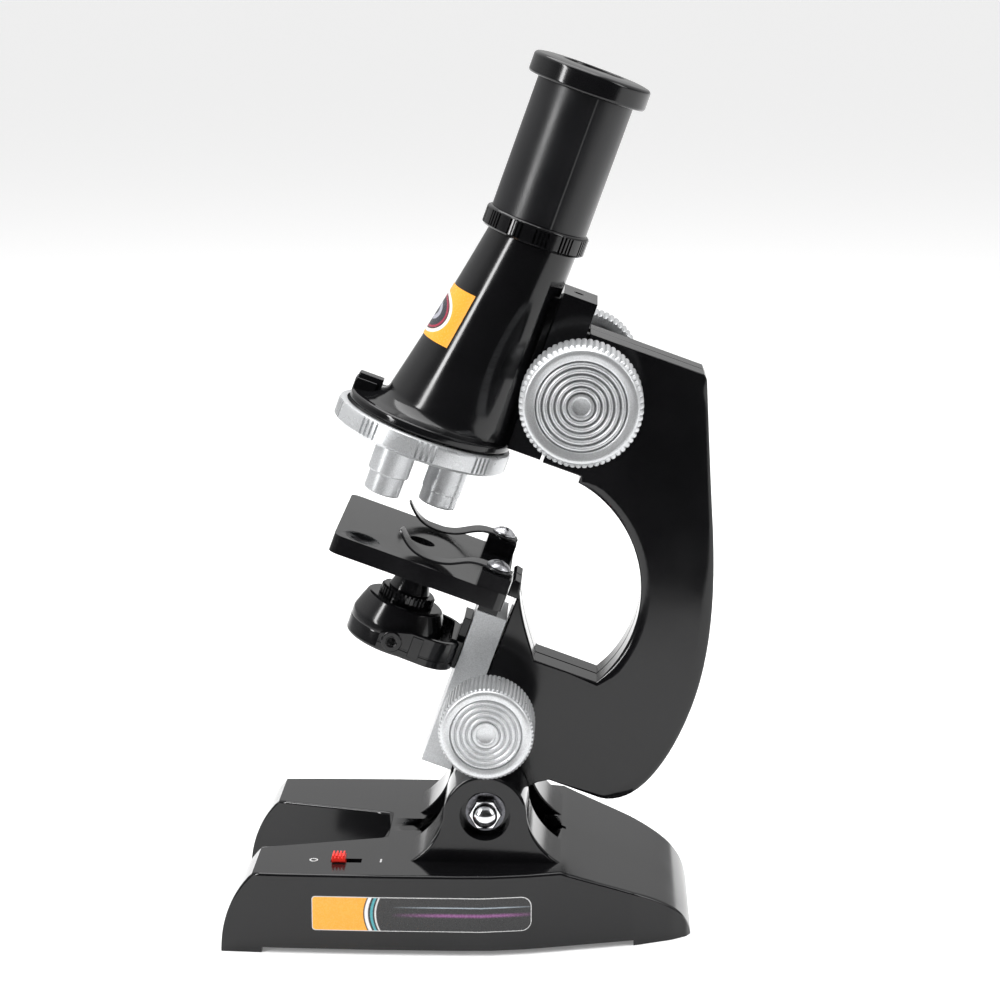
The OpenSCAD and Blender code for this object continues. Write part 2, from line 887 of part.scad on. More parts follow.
module clip_far() {
    color("#1c1c1f") on_arm() clip(clip_y, clip_turn);
}

module clip_screws() {
    color(chrome) on_arm() for (s = [-1, 1])
        translate([clip_x, s * clip_y, 49]) {
            cylinder(r = 1.48, h = 6.2);
            translate([0, 0, clip_lift + 0.7 - 49]) difference() {
                intersection() {
                    translate([0, 0, -2.1]) sphere(r = 3.7);
                    cylinder(r = 2.8, h = 2);
                }
                for (a = [20, 110])
                    rotate(a) translate([-1.7, -0.35, 0.8]) cube([3.4, 0.7, 2]);
            }
        }
}

// ---- lamp ----------------------------------------------------------------------------

module lamp_fork() {
    outer = fork_inner + 1.4;
    color(black) on_arm() difference() {
        union() {
            side(-outer, outer) translate([-20.8, 25.4])
                square([20.8 + bracket_x[0], 7.4]);
            for (s = [-1, 1])
                side(min(s * fork_inner, s * outer), max(s * fork_inner, s * outer))
                    translate([-37.2, 25.4]) square([17, 6.8]);
            side(-5, 5) translate([-20.8, 25.4]) square([20.8 + bracket_x[0], 12.6]);
        }
        cross_pin(lamp_pivot, 1.55, -20, 20);
        translate([-25, 0, 29]) rotate([0, 90, 0]) cylinder(r = 1.25, h = 10);
        translate([-21, 0, 29]) rotate([0, 90, 0]) cylinder(r = 2.6, h = 1.6);
    }
}

module fork_screw() {
    color(chrome) on_arm() translate([-16.2, 0, 29]) rotate([0, -90, 0])
        screw(2.4, 1.1, 1.15, 3.2);
}

module lamp_housing() {
    profile = concat([[0, 24.8], [lamp_radius - 0.4, 24.8], [lamp_radius, 25.2],
        [lamp_radius, 30.6]],
        bezier([lamp_radius - 0.25, 30.9], [lamp_radius - 0.6, 32.6],
            [lamp_radius - 1.1, 34], [9.4, 35.4], 6), [[8.9, 36], [0, 36]]);
    color(black) on_arm() difference() {
        translate([lamp_pivot[0], 0, 0]) rotate_extrude($fn = fine) polygon(profile);
        post([lamp_pivot[0], 0], 8, 26.4, 34.2);
        post([lamp_pivot[0], 0], 9.2, 20, 26.5);
        post([lamp_pivot[0], 0], 3.6, 30, 40);
        cross_pin(lamp_pivot, 1.5, -20, 20);
    }
}

module lamp_pivots() {
    color(black) on_arm() for (s = [-1, 1])
        cross_pin(lamp_pivot, 1.48, min(s * 8.6, s * 13), max(s * 8.6, s * 13));
}

module lamp_collar() {
    color(black) on_arm() ring([lamp_pivot[0], 0], 6.7, 4.36, 36.02, 38.5);
}

module lamp_nose() {
    color(black) on_arm() translate([lamp_pivot[0], 0, 0]) rotate_extrude()
        polygon([[2, 36.02], [4.35, 36.02], [4.35, 38.5], [5, 38.55], [3.3, 43.9], [2, 43.9]]);
}

module lamp_bulb() {
    color("#f4efd8") on_arm() {
        post([lamp_pivot[0], 0], 2.5, 26.4, 31);
        translate([lamp_pivot[0], 0, 31]) sphere(r = 2.5);
    }
}

module lamp_mirror() {
    color("#dfe6ea") on_arm() post([lamp_pivot[0], 0], 9.15, 25.4, 26.4);
}

base_shell();
base_plate();
base_screws();
battery_door();
battery_door_screw();
battery_cells();
battery_contacts();
switch_body();
switch_slider();
base_label();
hinge_bolt();
hinge_nut();
hinge_washers();
arm_shell_near();
arm_shell_far();
arm_screws();
focus_shaft();
focus_pinion();
focus_knob_near();
focus_knob_far();
carriage();
focus_rack();
body_cone();
cone_label();
turret_screw();
turret_detent();
draw_tube();
eyepiece_collar();
eyepiece_cap();
eye_lens();
field_lens();
turret_disc();
objective_low();
objective_mid();
objective_high();
objective_lenses();
stage_plate();
stage_bracket();
stage_rack();
stage_screws();
clip_near();
clip_far();
clip_screws();
stage_shaft();
stage_pinion();
stage_knob_near();
stage_knob_far();
lamp_fork();
fork_screw();
lamp_housing();
lamp_pivots();
lamp_collar();
lamp_nose();
lamp_bulb();
lamp_mirror();
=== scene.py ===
# Looks for the toy microscope: meshes are in millimetres in the base's or the arm's own
# frame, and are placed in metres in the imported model's frame.
import bpy
import bmesh
import math
from mathutils import Matrix, Vector


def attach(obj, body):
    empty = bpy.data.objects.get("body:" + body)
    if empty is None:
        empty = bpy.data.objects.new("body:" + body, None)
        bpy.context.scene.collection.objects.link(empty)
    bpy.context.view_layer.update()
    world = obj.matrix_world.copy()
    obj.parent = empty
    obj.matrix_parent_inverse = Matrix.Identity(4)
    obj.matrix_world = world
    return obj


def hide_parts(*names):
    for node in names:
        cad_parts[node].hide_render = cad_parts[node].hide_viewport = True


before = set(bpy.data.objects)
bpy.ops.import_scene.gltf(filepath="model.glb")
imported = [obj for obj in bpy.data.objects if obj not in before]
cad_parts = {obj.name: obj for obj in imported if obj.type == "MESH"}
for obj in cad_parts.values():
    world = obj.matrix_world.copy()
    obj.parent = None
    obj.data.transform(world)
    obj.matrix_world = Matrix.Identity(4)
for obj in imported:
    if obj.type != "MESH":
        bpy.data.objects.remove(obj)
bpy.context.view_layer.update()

ROW_X = -2.3
PIVOT = (6.3, 30.6)
TILT = math.radians(19.8)
ARM_TOP = 111.9
ARM_HALF = 7.5
FOCUS_AXIS = (-12.6, 99)
STAGE_AXIS = (-6.9, 20.9)
ARM_SCREWS = ((4, 101), (24.5, 62), (27, 24), (10, 22))
TOP_Z = 19.4
WALL = 2.0
LAMP_X = -34
OPTIC = -35.0
TURRET = -43.7

MM = Matrix.Scale(0.001, 4)
BASE = MM @ Matrix.Translation((ROW_X, 0, 0))
ARM = MM @ Matrix.Translation((ROW_X + PIVOT[0], 0, PIVOT[1])) @ Matrix.Rotation(TILT, 4, "Y")


# ---- materials -----------------------------------------------------------------------

def new_material(name):
    mat = bpy.data.materials.new(name)
    mat.use_nodes = True
    tree = mat.node_tree
    shader = tree.nodes["Principled BSDF"]
    return mat, tree, shader


def add(tree, kind, **values):
    node = tree.nodes.new(kind)
    for key, value in values.items():
        if key in node.inputs:
            node.inputs[key].default_value = value
        else:
            setattr(node, key, value)
    return node


def place(tree):
    return add(tree, "ShaderNodeTexCoord").outputs["Object"]


def noise(tree, coord, scale, detail=2.0, stretch=None):
    """A noise in object space; scale is per metre, stretch scales its axes."""
    if stretch:
        mapping = add(tree, "ShaderNodeMapping")
        mapping.inputs["Scale"].default_value = stretch
        tree.links.new(coord, mapping.inputs["Vector"])
        coord = mapping.outputs["Vector"]
    node = add(tree, "ShaderNodeTexNoise")
    node.inputs["Scale"].default_value = scale
    node.inputs["Detail"].default_value = detail
    tree.links.new(coord, node.inputs["Vector"])
    return node.outputs["Fac"]


def ramp(tree, value, low, high, out_low, out_high):
    node = add(tree, "ShaderNodeMapRange")
    for key, number in (("From Min", low), ("From Max", high), ("To Min", out_low),
                        ("To Max", out_high)):
        node.inputs[key].default_value = number
    tree.links.new(value, node.inputs["Value"])
    return node.outputs["Result"]


def mix(tree, factor, dark, light):
    node = add(tree, "ShaderNodeMix", data_type="RGBA")
    for index, colour in ((6, dark), (7, light)):
        if hasattr(colour, "is_linked"):
            tree.links.new(colour, node.inputs[index])
        else:
            node.inputs[index].default_value = (*colour, 1)
    tree.links.new(factor, node.inputs[0])
    return node.outputs[2]


def bump(tree, shader, height, strength, distance):
    node = add(tree, "ShaderNodeBump")
    node.inputs["Strength"].default_value = strength
    node.inputs["Distance"].default_value = distance
    tree.links.new(height, node.inputs["Height"])
    tree.links.new(node.outputs["Normal"], shader.inputs["Normal"])


def plastic(name, colour, rough=(0.16, 0.3), grain=900, relief=0.00002, shade=1.25,
            strength=0.12):
    """Moulded plastic: slight orange peel, handling marks in the gloss, faint colour drift."""
    mat, tree, shader = new_material(name)
    at = place(tree)
    smear = noise(tree, at, 55, 4)
    fine = noise(tree, at, grain, 3)
    tree.links.new(ramp(tree, smear, 0.3, 0.7, rough[0], rough[1]), shader.inputs["Roughness"])
    tint = mix(tree, ramp(tree, smear, 0.35, 0.65, 0, 1), colour,
               tuple(min(1, c * shade) for c in colour))
    tree.links.new(tint, shader.inputs["Base Color"])
    shader.inputs["Specular IOR Level"].default_value = 0.36
    bump(tree, shader, fine, strength, relief)
    return mat


def silver(name, colour, metal, rough):
    """Silver paint on plastic: fine flakes in colour and gloss over a faint texture."""
    mat, tree, shader = new_material(name)
    at = place(tree)
    flake = noise(tree, at, 4200, 2)
    drift = noise(tree, at, 120, 3)
    tint = mix(tree, ramp(tree, flake, 0.35, 0.65, 0, 1), tuple(c * 0.86 for c in colour),
               tuple(min(1, c * 1.1) for c in colour))
    tree.links.new(tint, shader.inputs["Base Color"])
    tree.links.new(ramp(tree, drift, 0.3, 0.7, rough - 0.06, rough + 0.06),
                   shader.inputs["Roughness"])
    shader.inputs["Metallic"].default_value = metal
    bump(tree, shader, flake, 0.15, 0.00002)
    return mat


def metal(name, colour, rough, stretch=None):
    mat, tree, shader = new_material(name)
    at = place(tree)
    brush = noise(tree, at, 1500, 4, stretch or (1, 1, 1))
    tree.links.new(ramp(tree, brush, 0.3, 0.7, rough * 0.7, rough * 1.4),
                   shader.inputs["Roughness"])
    tint = mix(tree, brush, tuple(c * 0.9 for c in colour), colour)
    tree.links.new(tint, shader.inputs["Base Color"])
    shader.inputs["Metallic"].default_value = 1.0
    bump(tree, shader, brush, 0.08, 0.00002)
    return mat


def glass(name, colour):
    mat, tree, shader = new_material(name)
    at = place(tree)
    coat = noise(tree, at, 60, 2)
    tree.links.new(mix(tree, coat, tuple(c * 0.85 for c in colour), colour),
                   shader.inputs["Base Color"])
    tree.links.new(ramp(tree, coat, 0.3, 0.7, 0.02, 0.08), shader.inputs["Roughness"])
    shader.inputs["Transmission Weight"].default_value = 0.85
    shader.inputs["IOR"].default_value = 1.5
    return mat


def math_node(tree, kind, a, b=None):
    node = add(tree, "ShaderNodeMath", operation=kind)
    for index, value in ((0, a), (1, b)):
        if value is None:
            continue
        if hasattr(value, "is_linked"):
            tree.links.new(value, node.inputs[index])
        else:
            node.inputs[index].default_value = value
    return node.outputs[0]


def band(tree, value, centre, half, soft=0.0002):
    """1 where value is within half of centre, fading over soft."""
    away = math_node(tree, "ABSOLUTE", math_node(tree, "SUBTRACT", value, centre))
    return ramp(tree, away, half - soft, half + soft, 1, 0)


BLACK = plastic("black_gloss", (0.0045, 0.0045, 0.005), (0.09, 0.17), 700, 0.00002, 1.4, 0.05)
BLACK_SATIN = plastic("black_satin", (0.008, 0.008, 0.009), (0.27, 0.38), 2600, 0.00004, 1.3,
                      0.25)
BLACK_DEEP = plastic("black_inner", (0.006, 0.006, 0.006), (0.45, 0.6), 1500)
SILVER = silver("silver_paint", (0.56, 0.57, 0.58), 0.6, 0.33)
SILVER_DARK = silver("silver_bracket", (0.5, 0.51, 0.52), 0.5, 0.4)
SILVER_BRIGHT = silver("silver_turret", (0.54, 0.55, 0.56), 0.5, 0.3)
STEEL = metal("plated_steel", (0.8, 0.8, 0.82), 0.16)
STEEL_BLACK = metal("blackened_steel", (0.12, 0.12, 0.13), 0.3)
STEEL_DARK = metal("shaft_steel", (0.5, 0.5, 0.52), 0.28, (1, 8, 1))
BRASS = metal("spring_brass", (0.72, 0.55, 0.26), 0.3)
RED = plastic("red_switch", (0.75, 0.03, 0.02), (0.25, 0.35), 1200)
NATURAL = plastic("natural_acetal", (0.7, 0.66, 0.56), (0.35, 0.5), 1500)
JACKET = plastic("cell_jacket", (0.55, 0.33, 0.05), (0.2, 0.35), 1200)
CLIP = plastic("clip_black", (0.012, 0.012, 0.013), (0.14, 0.24), 1800, 0.00002, 1.3, 0.1)
MARK = plastic("mark_white", (0.55, 0.55, 0.55), (0.4, 0.5), 1500)
LENS = glass("lens_glass", (0.75, 0.86, 0.9))
BULB = glass("bulb_glass", (0.95, 0.92, 0.82))
MIRROR = metal("mirror_silver", (0.88, 0.9, 0.92), 0.06)

CAD_LOOK = {
    "base_shell": BLACK, "base_plate": BLACK_SATIN, "battery_door": BLACK_SATIN,
    "base_screws": STEEL, "battery_door_screw": STEEL, "battery_cells": JACKET,
    "battery_contacts": STEEL, "switch_body": BLACK_DEEP, "switch_slider": RED,
    "hinge_bolt": STEEL_DARK, "hinge_nut": STEEL, "hinge_washers": STEEL_BLACK,
    "arm_shell_near": BLACK, "arm_shell_far": BLACK, "arm_screws": STEEL,
    "focus_shaft": STEEL_DARK, "stage_shaft": STEEL_DARK, "focus_pinion": NATURAL,
    "stage_pinion": NATURAL, "focus_rack": NATURAL, "stage_rack": NATURAL,
    "carriage": BLACK, "body_cone": BLACK, "turret_screw": STEEL, "turret_detent": BRASS,
    "field_lens": LENS, "eye_lens": LENS, "objective_lenses": LENS, "draw_tube": BLACK_SATIN,
    "eyepiece_collar": BLACK, "eyepiece_cap": BLACK, "turret_disc": SILVER_BRIGHT,
    "objective_low": SILVER_BRIGHT, "objective_mid": SILVER_BRIGHT,
    "objective_high": SILVER_BRIGHT, "stage_plate": BLACK, "stage_bracket": SILVER_DARK,
    "stage_screws": STEEL, "clip_near": CLIP, "clip_far": CLIP, "clip_screws": STEEL_DARK,
    "focus_knob_near": SILVER, "focus_knob_far": SILVER, "stage_knob_near": SILVER,
    "stage_knob_far": SILVER, "lamp_fork": BLACK_SATIN, "fork_screw": STEEL,
    "lamp_housing": BLACK, "lamp_pivots": BLACK_SATIN, "lamp_collar": BLACK,
    "lamp_nose": BLACK, "lamp_bulb": BULB, "lamp_mirror": MIRROR, "base_label": BLACK,
    "cone_label": BLACK,
}


def smooth_by_angle(mesh, degrees):
    for polygon in mesh.polygons:
        polygon.use_smooth = True
    mesh.set_sharp_from_angle(angle=math.radians(degrees))


def dress_cad(name, bevel, segments=3, angle=32):
    """Rounds a CAD node's edges with modifiers; its own mesh is left as it is."""
    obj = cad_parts[name]
    weld = obj.modifiers.new("weld", "WELD")
    weld.merge_threshold = 0.000004
    rounder = obj.modifiers.new("bevel", "BEVEL")
    rounder.width = bevel / 1000
    rounder.segments = segments
    rounder.limit_method = "ANGLE"
    rounder.angle_limit = math.radians(angle)
    rounder.use_clamp_overlap = True
    rounder.miter_outer = "MITER_ARC"
    rounder.harden_normals = True
    normals = obj.modifiers.new("normals", "WEIGHTED_NORMAL")
    normals.keep_sharp = False
    normals.weight = 80


for node_name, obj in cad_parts.items():
    for slot in obj.material_slots:
        slot.material = CAD_LOOK[node_name]


# ---- mesh helpers --------------------------------------------------------------------

def close_up(mesh, least=1e-5):
    """Merges doubled points and turns every face outwards."""
    tidy = bmesh.new()
    tidy.from_mesh(mesh)
    bmesh.ops.remove_doubles(tidy, verts=tidy.verts, dist=least)
    bmesh.ops.recalc_face_normals(tidy, faces=tidy.faces)
    if tidy.calc_volume(signed=True) < 0:
        bmesh.ops.reverse_faces(tidy, faces=tidy.faces)
    tidy.to_mesh(mesh)
    tidy.free()


def piece(name, verts, faces, to_world, body, material, slot=None, replaces=(), sharp=35,
          bevel=0.0, bevel_segments=3):
    mesh = bpy.data.meshes.new(name)
    mesh.from_pydata([tuple(v) for v in verts], [], faces)
    mesh.validate()
    close_up(mesh)
    mesh.transform(to_world)
    smooth_by_angle(mesh, sharp)
    obj = bpy.data.objects.new(name, mesh)
    bpy.context.collection.objects.link(obj)
    obj.data.materials.append(material)
    if bevel:
        rounder = obj.modifiers.new("bevel", "BEVEL")
        rounder.width = bevel / 1000
        rounder.segments = bevel_segments
        rounder.limit_method = "ANGLE"
        rounder.angle_limit = math.radians(30)
        rounder.harden_normals = True
        rounder.use_clamp_overlap = True
    even = obj.modifiers.new("normals", "WEIGHTED_NORMAL")
    even.keep_sharp = True
    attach(obj, body)
    if replaces:
        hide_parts(*replaces)
    return obj


class Mesh:
    """Collects vertices and faces of one piece."""

    def __init__(self):
        self.verts = []
        self.faces = []

    def ring(self, points):
        start = len(self.verts)
        self.verts.extend(Vector(p) for p in points)
        return list(range(start, len(self.verts)))

    def bridge(self, a, b):
        n = len(a)
        for i in range(n):
            j = (i + 1) % n
            self.faces.append((a[i], a[j], b[j], b[i]))

    def fan(self, ring, centre):
        self.verts.append(Vector(centre))
        c = len(self.verts) - 1
        n = len(ring)
        for i in range(n):
            self.faces.append((ring[i], ring[(i + 1) % n], c))

    def cap(self, ring):
        self.faces.append(tuple(ring))

    def revolve(self, profile, segs, centre=(0, 0), wave=None):
        """Turns (r, z) points round a Z axis at centre; wave(z_index, angle) adds to r."""
        rings = []
        for k, (r, z) in enumerate(profile):
            if r <= 1e-6:
                rings.append(("tip", (centre[0], centre[1], z)))
                continue
            points = []
            for i in range(segs):
                a = 2 * math.pi * i / segs
                rr = r + (wave(k, a) if wave else 0)
                points.append((centre[0] + rr * math.cos(a), centre[1] + rr * math.sin(a), z))
            rings.append(("ring", self.ring(points)))
        for (ka, a), (kb, b) in zip(rings, rings[1:]):
            if ka == "ring" and kb == "ring":
                self.bridge(a, b)
            elif ka == "ring":
                self.fan(a, b)
            elif kb == "ring":
                self.fan(b, a)
        return rings

    def block(self, low, high):
        x0, y0, z0 = low
        x1, y1, z1 = high
        a = self.ring([(x0, y0, z0), (x1, y0, z0), (x1, y1, z0), (x0, y1, z0)])
        b = self.ring([(x0, y0, z1), (x1, y0, z1), (x1, y1, z1), (x0, y1, z1)])
        self.bridge(a, b)
        self.cap(a)
        self.cap(b)

    def turn(self, matrix):
        self.verts = [matrix @ v for v in self.verts]

    def make(self, name, to_world, body, material, **more):
        return piece(name, self.verts, self.faces, to_world, body, material, **more)


def fillet(points, sizes, steps=4):
    """Rounds an open profile's corners: sizes[i] is the cut back along both sides at i."""
    out = []
    for i, p in enumerate(points):
        s = sizes[i] if isinstance(sizes, (list, tuple)) else sizes
        if i in (0, len(points) - 1) or s <= 0:
            out.append(p)
            continue
        a, b = Vector(points[i - 1]), Vector(points[i + 1])
        q = Vector(p)
        da, db = a - q, b - q
        s1, s2 = min(s, da.length * 0.45), min(s, db.length * 0.45)
        s0 = min(s1, s2)
        pa, pb = q + da.normalized() * s0, q + db.normalized() * s0
        for k in range(steps + 1):
            t = k / steps
            out.append(tuple((1 - t) ** 2 * pa + 2 * t * (1 - t) * q + t * t * pb))
    return out


def bezier(a, b, c, d, n):
    a, b, c, d = (Vector(p) for p in (a, b, c, d))
    return [tuple((1 - t) ** 3 * a + 3 * (1 - t) ** 2 * t * b + 3 * (1 - t) * t * t * c
                  + t ** 3 * d) for t in (i / n for i in range(n + 1))]


def arc(centre, r, start, end, n):
    return [(centre[0] + r * math.cos(math.radians(start + (end - start) * i / n)),
             centre[1] + r * math.sin(math.radians(start + (end - start) * i / n)))
            for i in range(n + 1)]


def inward(outline, widths):
    """Moves a closed outline's points inwards by widths, along the mean of the normals."""
    n = len(outline)
    area = sum(outline[i][0] * outline[(i + 1) % n][1] - outline[(i + 1) % n][0]
               * outline[i][1] for i in range(n))
    sign = 1 if area > 0 else -1
    out = []
    for i in range(n):
        p = Vector(outline[i])
        e1 = (p - Vector(outline[i - 1])).normalized()
        e2 = (Vector(outline[(i + 1) % n]) - p).normalized()
        n1, n2 = Vector((-e1.y, e1.x)) * sign, Vector((-e2.y, e2.x)) * sign
        m = n1 + n2
        if m.length < 1e-6:
            m = n1
        m.normalize()
        scale = 1 / max(0.5, m.dot(n1))
        w = widths[i] if isinstance(widths, (list, tuple)) else widths
        out.append(tuple(p + m * w * scale))
    return out


# ---- knobs ---------------------------------------------------------------------------

def knob(name, at, side, face, thick, r_face, r_rim, teeth, depth, rings, disc, node, body):
    """A drive knob on the axis at (x, z): knurled rim, ringed face, hub towards the arm.

    rings holds the grooves' radii, the ridges' height and how square the ridges are.
    """
    m = Mesh()
    rear = face - thick
    segs = teeth * 8
    profile = [(4.5, rear + 2.2), (r_rim - 2.4, rear + 2.2), (r_rim - 2.2, rear),
               (r_rim - 0.5, rear), (r_rim, rear + 0.35), (r_rim, face - 1.5),
               (r_rim - 0.25, face - 1.05)]
    knurled = {4, 5, 6}

    def wave(k, a):
        if k not in knurled:
            return 0
        phase = (a * teeth / (2 * math.pi)) % 1
        return depth * (math.sqrt(max(0, 1 - (2 * phase - 1) ** 2)) - 1) if depth else 0

    top = [(r_face, face - 0.75), (r_face - 0.12, face - 0.3), (r_face - 0.5, face - 0.05),
           (r_face - 1.1, face)]
    edges, height, power = rings
    low = face - height - 0.15
    top += [(r_face - 1.6, face - 0.08), (r_face - 2.1, face - 0.22),
            (edges[0] + 0.25, face - 0.3), (edges[0] + 0.12, face - 0.4)]
    for outer, inner in zip(edges, edges[1:]):
        mid, half = (outer + inner) / 2, (outer - inner) / 2 - 0.1
        top.append((mid + half + 0.06, low))
        for t in (1, 0.9, 0.65, 0.3, 0, -0.3, -0.65, -0.9, -1):
            rise = (1 - abs(t) ** 2) ** power
            top.append((mid + half * t, low + height * rise))
        top.append((mid - half - 0.06, low))
    last = edges[-1]
    top += [(last - 0.08, low), (last - 0.2, low + height * 0.9), (last - 0.6, low + height),
            (disc + 0.2, low + height * 0.9), (disc, low + 0.05), (disc - 0.15, low), (0, low)]
    m.revolve(profile + top, segs, wave=wave)
    hub = [(0, 8.7), (4.1, 8.7), (4.5, 9.1), (4.5, rear + 2.3)]
    m.revolve(hub, 64)
    turn = Matrix(((1, 0, 0, at[0]), (0, 0, side, 0), (0, 1, 0, at[1]), (0, 0, 0, 1)))
    m.turn(turn)
    return m.make(name, ARM, body, SILVER, slot="silver_plastic", replaces=[node], sharp=50)


focus_rings = ((10.2, 8.75, 7.3, 5.9, 4.5, 3.1), 0.95, 0.55)
stage_rings = ((8.3, 7.0, 5.7, 4.4, 3.1), 0.6, 0.9)
for word, side in (("near", -1), ("far", 1)):
    knob(f"focus_knob_{word}_look", FOCUS_AXIS, side, 31, 10.6, 13.0, 13.9, 62, 0.55,
         focus_rings, 2.0, f"focus_knob_{word}", "focus_drive")
    knob(f"stage_knob_{word}_look", STAGE_AXIS, side, 32.5, 12.1, 10.45, 10.95, 66, 0.4,
         stage_rings, 2.1, f"stage_knob_{word}", "stage_drive")


# ---- arm -----------------------------------------------------------------------------

def arm_outline():
    """Side outline of the arm with, for each point, the width and depth of its chamfer."""
    back = (bezier((13.6, ARM_TOP - 1), (17, 103), (21.5, 92), (27.2, 79), 16)
            + bezier((27.2, 79), (33.2, 65), (38.1, 50), (38.1, 36), 16)[1:]
            + bezier((38.1, 36), (38.1, 22), (34.5, 8), (25.5, 7.8), 16)[1:])
    r, c = 29.5, (-10.9, 49)
    low = math.degrees(math.asin((34.5 - c[1]) / r))
    high = 90 - math.degrees(math.asin((-5.8 - c[0]) / r))
    opening = arc(c, r, low, high, 30)
    parts = [
        ([(-15.2, ARM_TOP), (-5, ARM_TOP), (4, ARM_TOP), (12.6, ARM_TOP)], 0.35, 0.35),
        (back, 2.9, 1.25),
        ([(12.6, 7.8), (10.2, 6.3)], 0.35, 0.35),
        (arc((0, 0), 9, 25, -190, 28), 0.35, 0.35),
        ([(-9.8, 6), (-9.8, 27), (-9.8, 47), (-12.1, 47), (-12.1, 50.6), (-11.5, 51.2),
          (-10, 50.9)], 0.35, 0.35),
        (bezier((-9.6, 48.7), (-7.4, 43.4), (-4, 39), (-0.7, 34.5), 10), 0.5, 0.4),
        ([(8, 34.5)], 0.35, 0.35),
        (opening, 2.3, 1.1),
        ([(-5.8, 79.7), (-15.2, 79.7)], 0.35, 0.35),
    ]
    points, widths, depths = [], [], []
    for outline, w, d in parts:
        for i, p in enumerate(outline):
            if points and math.dist(p, points[-1]) < 0.05:
                continue
            points.append(p)
            if w > 1:
                fade = min(1, (i + 1.5) / 4, (len(outline) - i + 0.5) / 4)
            else:
                fade = 1
            widths.append(max(0.35, w * fade))
            depths.append(max(0.35, d * fade))
    return points, widths, depths


def cut(obj, cutters, sharp=30):
    """Takes cutter meshes out of obj and removes them."""
    obj.modifiers.clear()
    for cutter in cutters:
        mod = obj.modifiers.new("cut", "BOOLEAN")
        mod.operation = "DIFFERENCE"
        mod.solver = "EXACT"
        mod.object = cutter
    dg = bpy.context.evaluated_depsgraph_get()
    done = bpy.data.meshes.new_from_object(obj.evaluated_get(dg))
    obj.modifiers.clear()
    obj.data = done
    smooth_by_angle(done, sharp)
    even = obj.modifiers.new("normals", "WEIGHTED_NORMAL")
    even.keep_sharp = True
    for cutter in cutters:
        bpy.data.objects.remove(cutter, do_unlink=True)


def cutter(m, to_world):
    """A mesh used only to cut with."""
    mesh = bpy.data.meshes.new("cutter")
    mesh.from_pydata([tuple(v) for v in m.verts], [], m.faces)
    close_up(mesh, 1e-4)
    mesh.transform(to_world)
    obj = bpy.data.objects.new("cutter", mesh)
    bpy.context.collection.objects.link(obj)
    return obj


def prism_y(at, r, y0, y1, segs):
    m = Mesh()
    a = m.ring([(at[0] + r * math.cos(t), y0, at[1] + r * math.sin(t))
                for t in (2 * math.pi * i / segs for i in range(segs))])
    b = m.ring([(at[0] + r * math.cos(t), y1, at[1] + r * math.sin(t))
                for t in (2 * math.pi * i / segs for i in range(segs))])
    m.bridge(a, b)
    m.cap(a)
    m.cap(b)
    return m


points, widths, depths = arm_outline()
for word, side in (("near", -1), ("far", 1)):
    m = Mesh()
    layers = [(y, [w] * len(points)) for y, w in ((0.02, 0.7), (0.18, 0.7), (0.24, 0.12),
                                                  (0.4, 0.0))]
    rings = []
    for y, ws in layers:
        rings.append(m.ring([(p[0], side * y, p[1]) for p in inward(points, ws)]))
    rings.append(m.ring([(p[0], side * (ARM_HALF - d), p[1]) for p, d in zip(points, depths)]))
    for share_w, share_d in ((0.12, 0.62), (0.45, 0.22), (1.0, 0.0)):
        inset = inward(points, [w * share_w for w in widths])
        rings.append(m.ring([(p[0], side * (ARM_HALF - d * share_d), p[1])
                             for p, d in zip(inset, depths)]))
    for a, b in zip(rings, rings[1:]):
        m.bridge(a, b)
    m.cap(rings[0])
    m.cap(rings[-1])
    arm = m.make(f"arm_{word}_look", ARM, "arm", BLACK, slot="black_plastic",
                 replaces=[f"arm_shell_{word}"], sharp=28)
    if side < 0:
        cut(arm, [cutter(prism_y(at, 2.05, -12, 12, 40), ARM)
                  for at in (FOCUS_AXIS, STAGE_AXIS, (0, 0))],
            28)
        near_mesh = arm.data
    else:
        mirrored = near_mesh.copy()
        mirrored.transform(Matrix.Scale(-1, 4, (0, 1, 0)))
        mirrored.flip_normals()
        arm.data = mirrored
        cut(arm, [cutter(prism_y(at, 2.6, 5.1, 12, 40), ARM) for at in ARM_SCREWS], 28)

# rails that the carriage and the bracket slide on
m = Mesh()
for side in (-1, 1):
    for x0, x1, z0, z1 in ((-21.4, -14.4, 81.2, 111.4), (-15.6, -9.1, 8, 31.2)):
        y0, y1 = sorted((side * 3, side * 6.1))
        m.block((x0, y0, z0), (x1, y1, z1))
m.make("arm_rails_look", ARM, "arm", BLACK_SATIN, slot="black_plastic", bevel=0.2, sharp=30)


# ---- eyepiece, cone and turret -------------------------------------------------------

m = Mesh()


def seam(a):
    near = abs(math.degrees(a) - 284)
    return 0.16 * max(0, 1 - (near / 1.6) ** 2) if near < 1.6 else 0


m.revolve([(9.68, 162.5), (9.68, 126.7), (11.1, 126.65), (11.4, 126.9)], 360)
m.revolve([(11.4, 126.9), (11.4, 162.2), (11.25, 162.5), (9.68, 162.5)], 360,
          wave=lambda k, a: seam(a) if k in (0, 1) else 0)
m.turn(Matrix.Translation((OPTIC, 0, 0)))
m.make("draw_tube_look", ARM, "eyepiece", BLACK_SATIN, slot="black_plastic",
       replaces=["draw_tube"], sharp=40)

# collar with groups of grip ridges
m = Mesh()
GROUPS = 12


def ridges(a):
    part = (a / (2 * math.pi) * GROUPS) % 1
    if part > 0.6:
        return 0
    ridge = (part / 0.6 * 4.0) % 1
    return -0.42 if ridge < 0.46 else 0


